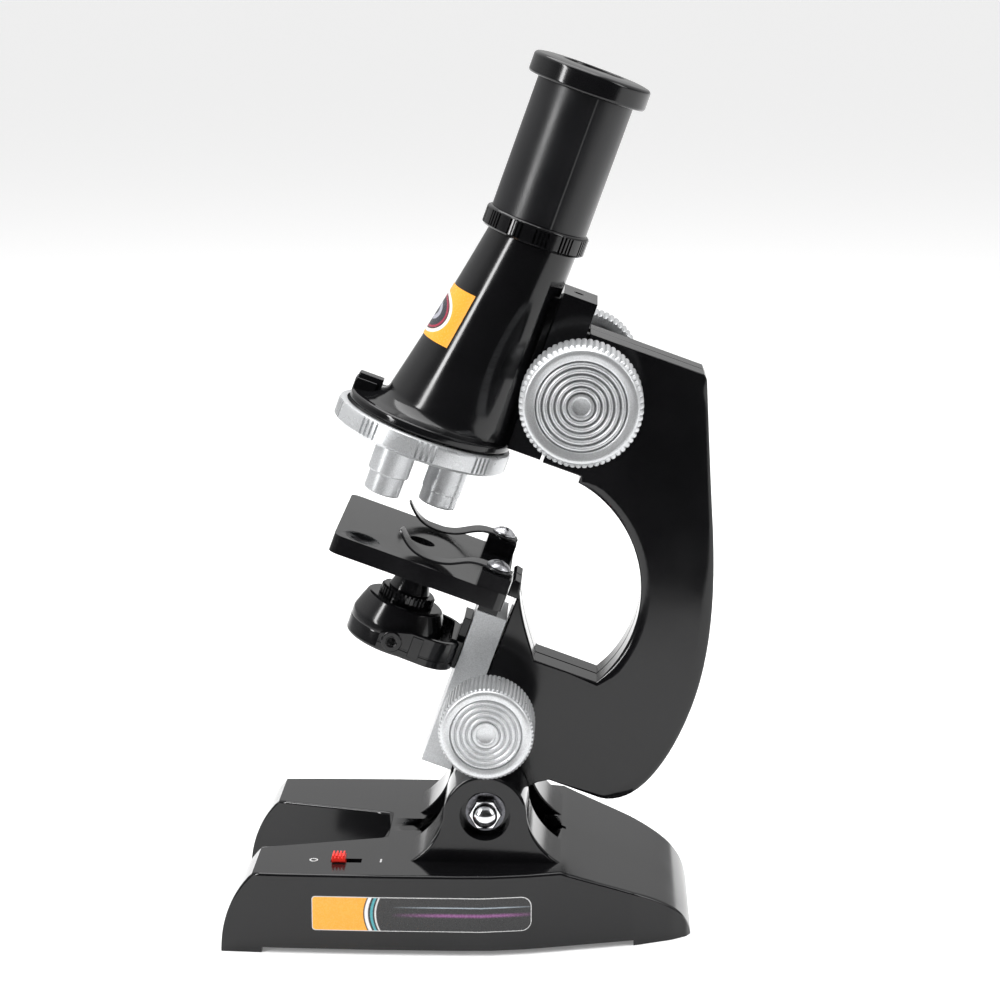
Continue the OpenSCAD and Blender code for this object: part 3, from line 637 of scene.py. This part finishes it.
m.revolve([(11.42, 126.7), (12.0, 126.7), (12.35, 127.1), (12.35, 127.25), (12.35, 130.6),
           (12.35, 130.75), (12.15, 131.1), (11.75, 131.35), (11.42, 131.4)], 960,
          wave=lambda k, a: ridges(a) if k in (3, 4) else 0)
m.turn(Matrix.Translation((OPTIC, 0, 0)))
m.make("eyepiece_collar_look", ARM, "eyepiece", BLACK, slot="black_plastic",
       replaces=["eyepiece_collar"], sharp=35)

# eyepiece cap
m = Mesh()
cap = fillet([(9.0, 162.55), (13.7, 162.55), (14.0, 163.0), (14.0, 166.9), (13.5, 167.45),
              (11.6, 167.85), (7.4, 168.0), (7.2, 167.3), (4.8, 166.9), (4.5, 165.5)],
             [0, 0.3, 0.4, 0.8, 0.8, 1.2, 0.35, 0.35, 0.3, 0])
m.revolve(cap + [(7.55, 165.4), (7.55, 162.55), (9.0, 162.55)], 144)
m.turn(Matrix.Translation((OPTIC, 0, 0)))
m.make("eyepiece_cap_look", ARM, "eyepiece", BLACK, slot="black_plastic",
       replaces=["eyepiece_cap"], sharp=40)


def cone_at(z):
    """Centre and radius of the cone at height z, with its flare onto the flange."""
    top, low = 126.3, 84.0
    if z >= low:
        t = (top - z) / (top - low)
        return -34.8 + (-39.3 + 34.8) * t, 10.6 + (15.3 - 10.6) * t + 0.35 * math.sin(
            math.pi * t) * -1
    t = (low - z) / (low - 80.3)
    swell = 1 - math.sqrt(max(0, 1 - t * t))
    return -39.3 - 3.0 * t * t, 15.3 + 0.25 * t + 3.0 * swell


m = Mesh()
segs = 144
rings = []
heights = [126.3 - 42.3 * i / 24 for i in range(25)] + [84 - 3.7 * i / 9 for i in
                                                       range(1, 10)]
for z in heights:
    cx, r = cone_at(z)
    rings.append(m.ring([(min(cx + r * math.cos(a), -24.12), r * math.sin(a), z)
                         for a in (2 * math.pi * i / segs for i in range(segs))]))
for a, b in zip(rings, rings[1:]):
    m.bridge(a, b)
m.cap(rings[0])
m.cap(rings[-1])
m.revolve(fillet([(0, 78.1), (19.3, 78.1), (19.7, 78.5), (19.7, 79.8), (19.3, 80.3),
                  (0, 80.3)], [0, 0.2, 0.3, 0.4, 0.3, 0]), 160, centre=(-43, 0))
m.revolve([(7.62, 157), (7.62, 126), (9.58, 126), (9.58, 156.8), (9.4, 157), (7.62, 157)],
          96, centre=(OPTIC, 0))
m.make("body_cone_look", ARM, "carriage", BLACK, slot="black_plastic",
       replaces=["body_cone"], sharp=38)

# rear web between cone and carriage, and the turret's click lug
m = Mesh()
m.block((-31, -5.5, 78.3), (-24.1, 5.5, 116.8))
m.block((-62.6, -2.2, 78.6), (-57.2, 2.2, 82.9))
m.block((-62.2, -1.7, 81), (-56.2, 1.7, 84.2))
m.make("cone_lugs_look", ARM, "carriage", BLACK, slot="black_plastic", bevel=0.35, sharp=30)

# turret with groups of grip grooves
m = Mesh()
TGROUPS = 9


def grooves(k, a):
    if k not in (5, 6):
        return 0
    part = ((a / (2 * math.pi) + 0.03) * TGROUPS) % 1
    width = 0.36
    if part > width:
        return 0
    groove = (part / width * 4.0) % 1
    return -0.5 if 0.2 < groove < 0.62 else 0


disc = [(2.7, 72.5), (17.6, 72.42), (18.2, 72.45), (20.2, 72.75), (20.75, 73.3),
        (21.15, 73.5), (21.15, 76.9), (20.9, 77.55), (20.5, 77.8), (19.45, 77.8),
        (19.45, 74.3), (2.7, 74.3), (2.7, 72.5)]
m.revolve(disc, 900, wave=grooves)
hub = [(1.3, 72.5), (2.75, 72.5), (2.75, 77.7), (1.3, 77.7), (1.3, 72.5)]
m.revolve(hub, 48)
m.turn(Matrix.Translation((TURRET, 0, 0)))
m.make("turret_disc_look", ARM, "turret", SILVER_BRIGHT, slot="silver_turret",
       replaces=["turret_disc"], sharp=35)

# objectives
for i, (word, up, low, step) in enumerate((("low", 4.7, 4.5, 8.6), ("mid", 4.9, 4.3, 7.2),
                                           ("high", 4.9, 4.3, 7.2))):
    m = Mesh()
    z0, z1 = 60.4, 72.4
    zs = z1 - step
    body = fillet([(1.85, 61.9), (2.95, 61.85), (2.95, z0 + 0.3), (3.3, z0), (low, z0),
                   (low, zs - 0.25), (low + 0.02, zs), (up, zs), (up, z1), (3.6, z1),
                   (3.6, 75.5), (1.85, 75.5)],
                  [0, 0, 0.2, 0.2, 0.45, 0.1, 0.1, 0.5, 0.25, 0, 0, 0])
    m.revolve(body + [body[0]], 96)
    angle = math.radians(120 * i)
    m.turn(Matrix.Translation((TURRET + 8.7 * math.cos(angle), 8.7 * math.sin(angle), 0)))
    m.make(f"objective_{word}_look", ARM, "turret", SILVER_BRIGHT, slot="silver_turret",
           replaces=[f"objective_{word}"], sharp=35)


# ---- clips ---------------------------------------------------------------------------

def clip(word, side):
    lift = 54.45
    low = 51.3
    mid = bezier((3.4, lift + 0.3), (8.3, lift + 0.3), (9, low + 0.4), (14.5, low), 14)
    tip = bezier((14.5, low), (19.5, low - 0.3), (21.5, 52.4), (24.2, 55.4), 14)
    line = [(-3.4, lift + 0.3), (0, lift + 0.3)] + mid + tip[1:]
    m = Mesh()
    rings = []
    for i, p in enumerate(line):
        a = Vector(line[max(0, i - 1)])
        b = Vector(line[min(len(line) - 1, i + 1)])
        d = (b - a).normalized()
        up = Vector((-d.y, d.x))
        half = 2.45 if i not in (0, len(line) - 1) else 1.7
        if i == len(line) - 2:
            half = 2.3
        loop = []
        for w, h in ((-1, -0.6), (-0.94, -1), (0.94, -1), (1, -0.6), (1, 0.6), (0.94, 1),
                     (-0.94, 1), (-1, 0.6)):
            q = Vector(p) + up * h * 0.29
            loop.append((-q.x, w * half, q.y))
        rings.append(m.ring(loop))
    for a, b in zip(rings, rings[1:]):
        m.bridge(a, b)
    m.cap(rings[0])
    m.cap(rings[-1])
    eye = fillet([(1.56, lift + 0.02), (3.4, lift + 0.02), (3.55, lift + 0.2),
                  (3.55, lift + 0.42), (3.4, lift + 0.6), (1.56, lift + 0.6)], 0.1)
    m.revolve(eye + [eye[0]], 64)
    m.turn(Matrix.Translation((-16.7, side * 17, 0))
           @ Matrix.Rotation(math.radians(side * 7), 4, "Z"))
    m.make(f"clip_{word}_look", ARM, f"clip_{word}", CLIP, slot="clip_steel",
           replaces=[f"clip_{word}"], sharp=40)


clip("near", -1)
clip("far", 1)


# ---- lamp ----------------------------------------------------------------------------

m = Mesh()
R = 11.2
cup = fillet([(8.2, 26.3), (9.3, 24.85), (R - 0.35, 24.85), (R, 25.3), (R, 28.6),
              (R - 0.12, 28.75), (R - 0.12, 28.95), (R, 29.1), (R, 30.9),
              (R - 0.9, 33.4), (9.35, 35.7), (8.7, 36.0), (6.4, 36.0), (4.1, 35.8),
              (3.6, 35.4)],
             [0, 0.3, 0.3, 0.3, 0, 0, 0, 0, 0.5, 1.5, 0.7, 0.3, 0.2, 0.2, 0])
m.revolve(cup + [(3.6, 34.2), (8.05, 34.2), (8.2, 26.3)], 144)
m.turn(Matrix.Translation((LAMP_X, 0, 0)))
m.make("lamp_housing_look", ARM, "lamp", BLACK, slot="black_plastic",
       replaces=["lamp_housing"], sharp=40)

m = Mesh()


def fins(k, a):
    return -0.42 if k in (2, 3) and (a / (2 * math.pi) * 38) % 1 < 0.5 else 0


m.revolve([(4.4, 36.05), (6.2, 36.05), (6.6, 36.3), (6.6, 38.05), (6.2, 38.45),
           (4.4, 38.5), (4.4, 36.05)], 608, wave=fins)
m.turn(Matrix.Translation((LAMP_X, 0, 0)))
m.make("lamp_collar_look", ARM, "condenser", BLACK, slot="black_plastic",
       replaces=["lamp_collar"], sharp=35)

m = Mesh()
nose = fillet([(2.1, 36.1), (4.3, 36.1), (4.3, 38.5), (5.0, 38.6), (4.9, 38.9),
               (3.35, 43.6), (3.0, 43.9), (2.1, 43.9)], [0, 0, 0, 0.15, 0.3, 0.3, 0.3, 0])
m.revolve(nose + [nose[0]], 96)
m.turn(Matrix.Translation((LAMP_X, 0, 0)))
m.make("lamp_nose_look", ARM, "condenser", BLACK, slot="black_plastic",
       replaces=["lamp_nose"], sharp=40)


# lamp fork: a band round the rear of the cup, with a boss at each pivot
m = Mesh()
path = ([(-37.2, 12.3), (-34, 12.3), (-30, 12.3), (-26, 12.3)]
        + bezier((-26, 12.3), (-22.6, 12.2), (-20.2, 10.5), (-19.4, 7.5), 8)[1:]
        + [(-19.2, 4), (-19.2, 0)])
path = path + [(x, -y) for x, y in reversed(path[:-1])]
rings = []
for i, p in enumerate(path):
    q0, q1 = Vector(path[max(0, i - 1)]), Vector(path[min(len(path) - 1, i + 1)])
    d = (q1 - q0).normalized()
    out_dir = Vector((-d.y, d.x))
    low, high = 25.4, 32.2
    if abs(p[1]) > 12:
        low += 0.35 * max(0, -27 - p[0]) / 10
        high -= 2.2 * max(0, -31 - p[0]) / 6
    half, e = 0.7, 0.25
    loop = [(-half, low + e), (-half + e, low), (half - e, low), (half, low + e),
            (half, low + 1.7), (half - 0.18, low + 1.85), (half - 0.18, low + 2.1),
            (half, low + 2.25), (half, high - e), (half - e, high), (-half + e, high),
            (-half, high - e)]
    rings.append(m.ring([(p[0] + out_dir.x * w, p[1] + out_dir.y * w, z) for w, z in loop]))
for a, b in zip(rings, rings[1:]):
    m.bridge(a, b)
m.cap(rings[0])
m.cap(rings[-1])
m.make("lamp_fork_look", ARM, "stage", BLACK, slot="black_plastic",
       replaces=["lamp_fork"], sharp=35)
m = Mesh()
m.block((-20.8, -7.6, 26), (-17.7, 7.6, 32.7))
m.block((-19.6, -4.9, 32), (-17.7, 4.9, 37.9))
m.block((-29.6, -13.15, 26.4), (-26.9, -12.6, 31.6))
m.block((-29.6, 12.6, 26.4), (-26.9, 13.15, 31.6))
for side in (-1, 1):
    start = len(m.verts)
    m.revolve([(0, 12.7), (2.5, 12.7), (2.5, 13.05), (2.25, 13.25), (1.3, 13.25),
               (1.15, 13.0), (0, 13.0)], 48)
    turn = Matrix(((1, 0, 0, -34), (0, 0, side, 0), (0, 1, 0, 28.6), (0, 0, 0, 1)))
    m.verts[start:] = [turn @ v for v in m.verts[start:]]
m.make("lamp_fork_bosses_look", ARM, "stage", BLACK, slot="black_plastic", bevel=0.15,
       sharp=30)


# ---- nut, switch, labels -------------------------------------------------------------

m = Mesh()
hexagon = []
for z, grow in ((0, -0.25), (0.25, 0), (2.1, 0), (2.5, -0.3)):
    hexagon.append(m.ring([((3.95 + grow) * math.cos(math.radians(60 * i)),
                            (3.95 + grow) * math.sin(math.radians(60 * i)), z)
                           for i in range(6)]))
for a, b in zip(hexagon, hexagon[1:]):
    m.bridge(a, b)
m.cap(hexagon[0])
m.cap(hexagon[-1])
dome = [(2.95, 2.3), (2.95, 2.6)] + [(2.95 * math.cos(t), 2.6 + 2.5 * math.sin(t)) for t in
                                     (math.pi / 2 * i / 12 for i in range(1, 12))] + [
    (0, 5.1)]
m.revolve(dome, 64)
m.turn(Matrix(((1, 0, 0, PIVOT[0]), (0, 0, -1, -21.65), (0, 1, 0, PIVOT[1]), (0, 0, 0, 1))))
m.make("hinge_nut_look", BASE, "base", STEEL, slot="steel", replaces=["hinge_nut"],
       sharp=30, bevel=0.12)

m = Mesh()
x0, y0 = -29.3, -25
m.block((x0, y0 - 1, 15.6), (x0 + 3.2, y0 + 1, 19.9))
m.block((x0, y0 - 1.7, 19.7), (x0 + 3.2, y0 + 1.7, 20.6))
for i in range(4):
    m.block((x0 + 0.15 + 0.8 * i, y0 - 1.7, 20.5), (x0 + 0.6 + 0.8 * i, y0 + 1.7, 21.2))
m.make("switch_slider_look", BASE, "switch", RED, slot="red_plastic",
       replaces=["switch_slider"], bevel=0.1, sharp=30)

# raised on and off marks beside the switch: a ring, and a bar, both generic
m = Mesh()
for cx, gap in ((-33.6, True), (-17.9, False)):
    if gap:
        loop_out = arc((cx, -25), 1.0, 0, 360, 28)
        for k in range(28):
            a, b = loop_out[k], loop_out[k + 1]
            ia = (cx + (a[0] - cx) * 0.68, -25 + (a[1] + 25) * 0.68)
            ib = (cx + (b[0] - cx) * 0.68, -25 + (b[1] + 25) * 0.68)
            lo = m.ring([(a[0], a[1], 19.3), (b[0], b[1], 19.3), (ib[0], ib[1], 19.3),
                         (ia[0], ia[1], 19.3)])
            hi = m.ring([(a[0], a[1], 19.5), (b[0], b[1], 19.5), (ib[0], ib[1], 19.5),
                         (ia[0], ia[1], 19.5)])
            m.bridge(lo, hi)
            m.cap(hi)
    else:
        m.block((cx - 0.18, -26, 19.3), (cx + 0.18, -24, 19.5))
m.make("switch_marks_look", BASE, "base", MARK, slot="black_plastic", sharp=30)


def base_half_width(x, inset=0.0):
    """Half width of the base's side wall along its length."""
    line = [(-54.5, 33.4), (-40, 34.2), (-18, 34.6), (6, 34.5), (17, 32.8), (41, 26.6),
            (50, 22.8), (53.5, 20.4), (54.5, 18.5)]
    for (xa, ya), (xb, yb) in zip(line, line[1:]):
        if x <= xb:
            return ya + (yb - ya) * (x - xa) / (xb - xa) - inset
    return line[-1][1] - inset


def base_mesh(inset, low_cut):
    """The base's body: sections from the leg ends to the rear, mirrored about y = 0.

    inset moves every outer face inwards; low_cut is the bottom of the inset body.
    """
    r = max(0.05, 0.75 - inset)
    stations = []
    for i in range(15):
        t = math.radians(180 - 45 * i / 14)
        rad = 25.8 - inset
        stations.append((-28.7 + rad * math.cos(t), 1 + rad * math.sin(t)))
    stations += [(-46.9 + inset, TOP_Z - inset)]
    stations += [(x, TOP_Z - inset) for x in (-45.001, -44.999, -40, -34, -28, -22, -18.6 + inset)]
    gap_at = len(stations) - 1
    lip = [(-17.8 + inset + r * (1 - math.cos(math.radians(a))),
            TOP_Z - inset) for a in (0, 22, 45, 67, 90)]
    stations += lip
    stations += [(x, TOP_Z - inset) for x in (-10, 0, 8, 16)]
    rear = bezier((24, TOP_Z - inset), (40 - inset, 13 - inset), (53.5 - inset, 10.5 - inset),
                  (54.5 - inset, 0.3), 30)
    stations += [p for p in rear if not 40.6 < p[0] < 41.4]
    stations = [p for i, p in enumerate(stations) if i == 0 or p[0] > stations[i - 1][0] - 0.01]
    for i, (x, z) in enumerate(stations):
        if x > 41:
            xa, za = stations[i - 1]
            z41 = za + (z - za) * (41 - xa) / (x - xa)
            stations[i:i] = [(40.999, z41), (41.001, z41)]
            break
    m = Mesh()
    steps = 5
    for side in (1, -1):
        rings = []
        for i, (x, zt) in enumerate(stations):
            yo = base_half_width(x, inset)
            foot = 0.0 if x < -45 or x > 41 else 1.3
            zb = low_cut if low_cut is not None else foot
            zb = min(zb, zt - 0.2)
            rr = min(r, (zt - zb) * 0.45)
            leg = i <= gap_at
            if leg:
                share = (x + 56.5) / (56.5 - 18.6)
                yi = 18.8 + (8.6 - 18.8) * share + inset
                drop = 0
            else:
                yi = 0.0
                lift = min(1, max(0, (x - stations[gap_at + 1][0]) / r))
                drop = r * (1 - math.sqrt(max(0, 1 - (1 - lift) ** 2)))
            loop = [(yi, zb)]
            for k in range(steps + 1):
                a = math.radians(90 * k / steps)
                if leg:
                    loop.append((yi + rr * (1 - math.cos(a)), zt - rr * (1 - math.sin(a))))
                else:
                    loop.append((7.7 * k / steps, zt - drop))
            loop.append((max(8.6, yi + rr + 0.1), zt))
            for k in range(steps + 1):
                a = math.radians(90 * k / steps)
                loop.append((yo - rr * (1 - math.sin(a)), zt - rr * (1 - math.cos(a))))
            loop.append((yo, zb))
            rings.append(m.ring([(x, side * y, z) for y, z in loop]))
        n = len(rings[0])
        for i in range(len(rings) - 1):
            a, b = rings[i], rings[i + 1]
            for k in range(n):
                j = (k + 1) % n
                if i > gap_at and k == 0:
                    continue
                m.faces.append((a[k], a[j], b[j], b[k]))
        m.cap(rings[0])
        m.cap(rings[-1])
    return m


def ear_outline():
    half = ([(21, -14.5), (21, -12.9)]
            + bezier((21, -12.9), (16.2, -11.3), (10.9, -6.6), (9.85, -0.5), 18)[1:]
            + arc((0, 0), 9.8, 3, 90, 16))
    return half + [(-x, z) for x, z in reversed(half[:-1])]


def prism_z(outline, z0, z1):
    m = Mesh()
    a = m.ring([(x, y, z0) for x, y in outline])
    b = m.ring([(x, y, z1) for x, y in outline])
    m.bridge(a, b)
    m.cap(a)
    m.cap(b)
    return m


base = base_mesh(0.0, None).make("base_shell_look", BASE, "base", BLACK,
                                         slot="black_plastic", replaces=["base_shell"],
                                         sharp=32)
hollow = cutter(base_mesh(WALL, -1.0), BASE)
slot_room = cutter(prism_z([(-15.6, 0), (-8.2, 10.4), (20.5, 10.4), (26.8, 0), (20.5, -10.4),
                          (-8.2, -10.4)], 14.4, 30), BASE)
cut(hollow, [slot_room])
slot_cut = cutter(prism_z([(-12.6, 0), (-7, 8.49), (19.3, 8.49), (24, 0), (19.3, -8.49),
                         (-7, -8.49)], 16.4, 30), BASE)
switch_cut = cutter(prism_z([(-29.6, -26.3), (-22.4, -26.3), (-22.4, -23.7), (-29.6, -23.7)],
                            15, 30), BASE)
cut(base, [hollow, slot_cut, switch_cut], 32)

for word, side in (("near", -1), ("far", 1)):
    m = Mesh()
    outline = ear_outline()
    rings = []
    for y, w in ((8.5, 0.45), (8.62, 0.17), (8.9, 0.0), (24.3, 0.0), (24.72, 0.16),
                 (24.93, 0.42), (25.0, 0.75)):
        inset_line = inward(outline, [w * min(1, max(0, (20.5 - abs(x)) / 5))
                                      for x, z in outline])
        rings.append(m.ring([(PIVOT[0] + x, side * y, PIVOT[1] + z) for x, z in inset_line]))
    for a, b in zip(rings, rings[1:]):
        m.bridge(a, b)
    m.cap(rings[0])
    m.cap(rings[-1])
    ear = m.make(f"ear_{word}_look", BASE, "base", BLACK, slot="black_plastic", sharp=30)
    y0, y1 = sorted((side * 21, side * 26))
    cut(ear, [cutter(prism_y(PIVOT, 5.9, y0, y1, 72), BASE),
              cutter(prism_y(PIVOT, 2.05, -30, 30, 72), BASE)])


def label_material():
    """Printed film: an orange end, thin curved rules, and a dark field with a light rim."""
    mat, tree, shader = new_material("label_print")
    at = place(tree)
    split = add(tree, "ShaderNodeSeparateXYZ")
    tree.links.new(at, split.inputs[0])
    x, z = split.outputs["X"], split.outputs["Z"]
    rise = math_node(tree, "SUBTRACT", z, 0.0101)
    curve = math_node(tree, "MULTIPLY", math_node(tree, "MULTIPLY", rise, rise), 60)
    along = math_node(tree, "SUBTRACT", x, curve)
    start = -0.033 + ROW_X / 1000
    orange = (0.86, 0.36, 0.03)
    dark = (0.011, 0.011, 0.012)
    left = ramp(tree, along, start + 0.0116, start + 0.0118, 0, 1)
    colour = mix(tree, left, orange, dark)
    for offset, half, tint in ((0.0124, 0.0004, (0.75, 0.75, 0.75)),
                               (0.0136, 0.0003, (0.06, 0.32, 0.36)),
                               (0.0145, 0.0002, (0.6, 0.6, 0.6))):
        colour = mix(tree, band(tree, along, start + offset, half, 0.00008), colour, tint)
    glow = band(tree, math_node(tree, "ADD", rise, 0.0002), 0, 0.0002, 0.0004)
    fade = ramp(tree, x, start + 0.018, start + 0.03, 0, 1)
    fade2 = ramp(tree, x, start + 0.052, start + 0.044, 0, 1)
    beam = math_node(tree, "MULTIPLY", math_node(tree, "MULTIPLY", glow, fade), fade2)
    colour = mix(tree, beam, colour, (0.32, 0.1, 0.3))
    beam2 = math_node(tree, "MULTIPLY", math_node(tree, "MULTIPLY", band(
        tree, rise, 0.0017, 0.00012, 0.0001), fade), fade2)
    colour = mix(tree, beam2, colour, (0.35, 0.4, 0.45))
    tree.links.new(colour, shader.inputs["Base Color"])
    fine = noise(tree, at, 2500, 2)
    tree.links.new(ramp(tree, fine, 0.3, 0.7, 0.22, 0.32), shader.inputs["Roughness"])
    bump(tree, shader, fine, 0.05, 0.00001)
    return mat


def label_plate(name, low, high, corner, lift, material):
    """A thin film on the base's near wall, following the wall along its length."""
    m = Mesh()
    (x0, z0), (x1, z1) = low, high
    left, right = corner
    stops = [x0 + left * (1 - math.cos(math.radians(9 * i))) for i in range(11)]
    stops += [x0 + left + (x1 - right - x0 - left) * i / 30 for i in range(1, 30)]
    stops += [x1 - right * (1 - math.sin(math.radians(9 * i))) for i in range(11)]
    rows = []
    for x in stops:
        near = 0.0
        if x < x0 + left:
            near = left - math.sqrt(max(0, left ** 2 - (x0 + left - x) ** 2))
        if x > x1 - right:
            near = right - math.sqrt(max(0, right ** 2 - (x - x1 + right) ** 2))
        near = min(near, (z1 - z0) / 2 - 0.02)
        y = -base_half_width(x)
        rows.append(m.ring([(x, y + 0.05, z0 + near), (x, y - lift, z0 + near),
                            (x, y - lift, z1 - near), (x, y + 0.05, z1 - near)]))
    for a, b in zip(rows, rows[1:]):
        m.bridge(a, b)
    m.cap(rows[0])
    m.cap(rows[-1])
    return m.make(name, BASE, "base", material, slot="orange_label", sharp=30)


label_plate("base_label_rim_look", (-33.2, 5.9), (17.4, 14.2), (0.8, 2.4), 0.06, MARK)
face = label_plate("base_label_look", (-33.0, 6.1), (17.2, 14.0), (0.7, 2.2), 0.12,
                   label_material())
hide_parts("base_label")


def cone_label_material():
    mat, tree, shader = new_material("cone_label_print")
    at = place(tree)
    move = add(tree, "ShaderNodeMapping", vector_type="TEXTURE")
    centre = ARM @ Vector((-49.0, -12, 104.6))
    move.inputs["Location"].default_value = centre
    move.inputs["Rotation"].default_value = (0, TILT, 0)
    tree.links.new(at, move.inputs["Vector"])
    split = add(tree, "ShaderNodeSeparateXYZ")
    tree.links.new(move.outputs["Vector"], split.inputs[0])
    x, z = split.outputs["X"], split.outputs["Z"]
    orange = (0.86, 0.36, 0.03)
    reach = math_node(tree, "SQRT", math_node(
        tree, "ADD", math_node(tree, "MULTIPLY", math_node(tree, "ADD", x, 0.0035),
                               math_node(tree, "ADD", x, 0.0035)),
        math_node(tree, "MULTIPLY", z, z)))
    disc = ramp(tree, reach, 0.0052, 0.0054, 1, 0)
    colour = mix(tree, disc, orange, (0.02, 0.02, 0.03))
    for r0, half, tint in ((0.0056, 0.0003, (0.8, 0.8, 0.8)), (0.0048, 0.0002, (0.3, 0.02,
                                                                               0.05)),
                           (0.0032, 0.0003, (0.35, 0.35, 0.4))):
        colour = mix(tree, band(tree, reach, r0, half, 0.00008), colour, tint)
    tree.links.new(colour, shader.inputs["Base Color"])
    fine = noise(tree, at, 2500, 2)
    tree.links.new(ramp(tree, fine, 0.3, 0.7, 0.2, 0.3), shader.inputs["Roughness"])
    bump(tree, shader, fine, 0.05, 0.00001)
    return mat


m = Mesh()
rows, columns = 14, 22
grid_out, grid_in = [], []
for i in range(rows + 1):
    z = 98 + 13.2 * i / rows
    cx, r = cone_at(z)
    row_out, row_in = [], []
    for j in range(columns + 1):
        a = math.radians(181 + 57 * j / columns)
        row_out.append((cx + (r + 0.14) * math.cos(a), (r + 0.14) * math.sin(a), z))
        row_in.append((cx + (r - 0.05) * math.cos(a), (r - 0.05) * math.sin(a), z))
    grid_out.append(m.ring(row_out))
    grid_in.append(m.ring(row_in))
for i in range(rows):
    for j in range(columns):
        m.faces.append((grid_out[i][j], grid_out[i][j + 1], grid_out[i + 1][j + 1],
                        grid_out[i + 1][j]))
        m.faces.append((grid_in[i][j], grid_in[i + 1][j], grid_in[i + 1][j + 1],
                        grid_in[i][j + 1]))
edge = ([(0, j) for j in range(columns + 1)] + [(i, columns) for i in range(1, rows + 1)]
        + [(rows, j) for j in range(columns - 1, -1, -1)]
        + [(i, 0) for i in range(rows - 1, 0, -1)])
for k in range(len(edge)):
    (i0, j0), (i1, j1) = edge[k], edge[(k + 1) % len(edge)]
    m.faces.append((grid_out[i0][j0], grid_out[i1][j1], grid_in[i1][j1], grid_in[i0][j0]))
m.make("cone_label_look", ARM, "carriage", cone_label_material(), slot="orange_label",
       replaces=["cone_label"], sharp=40)


# ---- CAD nodes that stay: rounded edges ----------------------------------------------

for node_name, size in (("base_plate", 0.2), ("battery_door", 0.2),
                        ("carriage", 0.35), ("stage_plate", 0.4), ("stage_bracket", 0.3),
                        ("clip_screws", 0.12), ("arm_screws", 0.12),
                        ("base_screws", 0.12), ("switch_body", 0.2)):
    dress_cad(node_name, size)


# ---- floor, light, camera ------------------------------------------------------------

floor_mesh = bpy.data.meshes.new("floor")
floor_mesh.from_pydata([(-14, -0.3, 0), (14, -0.3, 0), (14, 26, 0), (-14, 26, 0)], [],
                       [(0, 1, 2, 3)])
floor = bpy.data.objects.new("floor", floor_mesh)
bpy.context.collection.objects.link(floor)
floor_mat, tree, shader = new_material("floor_paper")
speck = noise(tree, place(tree), 300, 2)
tree.links.new(mix(tree, speck, (0.9, 0.9, 0.9), (0.93, 0.93, 0.93)),
               shader.inputs["Base Color"])
shader.inputs["Roughness"].default_value = 0.7
shader.inputs["Specular IOR Level"].default_value = 0.2
shader.inputs["Emission Color"].default_value = (1, 1, 1, 1)
shader.inputs["Emission Strength"].default_value = 0.2
floor.data.materials.append(floor_mat)

bpy.context.scene.view_settings.view_transform = "Standard"
world = bpy.data.worlds.new("studio")
bpy.context.scene.world = world
world.use_nodes = True
wt = world.node_tree
wt.nodes.clear()
out = wt.nodes.new("ShaderNodeOutputWorld")
ray = wt.nodes.new("ShaderNodeLightPath")
direction = wt.nodes.new("ShaderNodeTexCoord")
axes = wt.nodes.new("ShaderNodeSeparateXYZ")
wt.links.new(direction.outputs["Generated"], axes.inputs[0])
front = wt.nodes.new("ShaderNodeMapRange")
front.interpolation_type = "SMOOTHSTEP"
for key, number in (("From Min", -0.7), ("From Max", 0.2), ("To Min", 0.03),
                    ("To Max", 1.15)):
    front.inputs[key].default_value = number
wt.links.new(axes.outputs["Y"], front.inputs["Value"])
above = wt.nodes.new("ShaderNodeMapRange")
for key, number in (("From Min", 0.1), ("From Max", 0.7), ("To Min", 0.5), ("To Max", 1.3)):
    above.inputs[key].default_value = number
wt.links.new(axes.outputs["Z"], above.inputs["Value"])
both = wt.nodes.new("ShaderNodeMath")
both.operation = "MULTIPLY"
wt.links.new(front.outputs["Result"], both.inputs[0])
wt.links.new(above.outputs["Result"], both.inputs[1])
room = wt.nodes.new("ShaderNodeBackground")
wt.links.new(both.outputs[0], room.inputs["Strength"])
seen = wt.nodes.new("ShaderNodeBackground")
seen.inputs["Color"].default_value = (1, 1, 1, 1)
seen.inputs["Strength"].default_value = 1.0
choose = wt.nodes.new("ShaderNodeMixShader")
wt.links.new(ray.outputs["Is Camera Ray"], choose.inputs[0])
wt.links.new(room.outputs[0], choose.inputs[1])
wt.links.new(seen.outputs[0], choose.inputs[2])
wt.links.new(choose.outputs[0], out.inputs[0])


def area(name, at, aim, size, power):
    data = bpy.data.lights.new(name, "AREA")
    data.shape = "RECTANGLE"
    data.size, data.size_y = size
    data.energy = power
    lamp = bpy.data.objects.new(name, data)
    lamp.location = at
    lamp.rotation_euler = (Vector(aim) - Vector(at)).to_track_quat("-Z", "Y").to_euler()
    bpy.context.collection.objects.link(lamp)
    return lamp


area("soft_left", (-0.6, -0.5, 0.5), (0, 0, 0.1), (0.1, 0.7), 6.0)
area("soft_right", (0.8, -0.3, 0.45), (0, 0, 0.1), (0.25, 0.5), 2.2)
area("soft_top", (0.0, 0.1, 0.95), (0, 0, 0.05), (0.8, 0.8), 9.0)

cam_data = bpy.data.cameras.new("camera")
cam = bpy.data.objects.new("camera", cam_data)
bpy.context.collection.objects.link(cam)
az, el = math.radians(2.2), math.radians(12.4)
forward = Vector((-math.sin(az) * math.cos(el), math.cos(az) * math.cos(el), -math.sin(el)))
target = Vector((8.87 + ROW_X, 0, 100.2)) / 1000
cam.location = target - forward * 0.5882
cam.rotation_mode = "QUATERNION"
cam.rotation_quaternion = forward.to_track_quat("-Z", "Y")
cam_data.lens = 90
cam_data.sensor_width = 36
cam_data.clip_start = 0.01
cam_data.dof.use_dof = False
bpy.context.scene.camera = cam

bpy.context.view_layer.update()
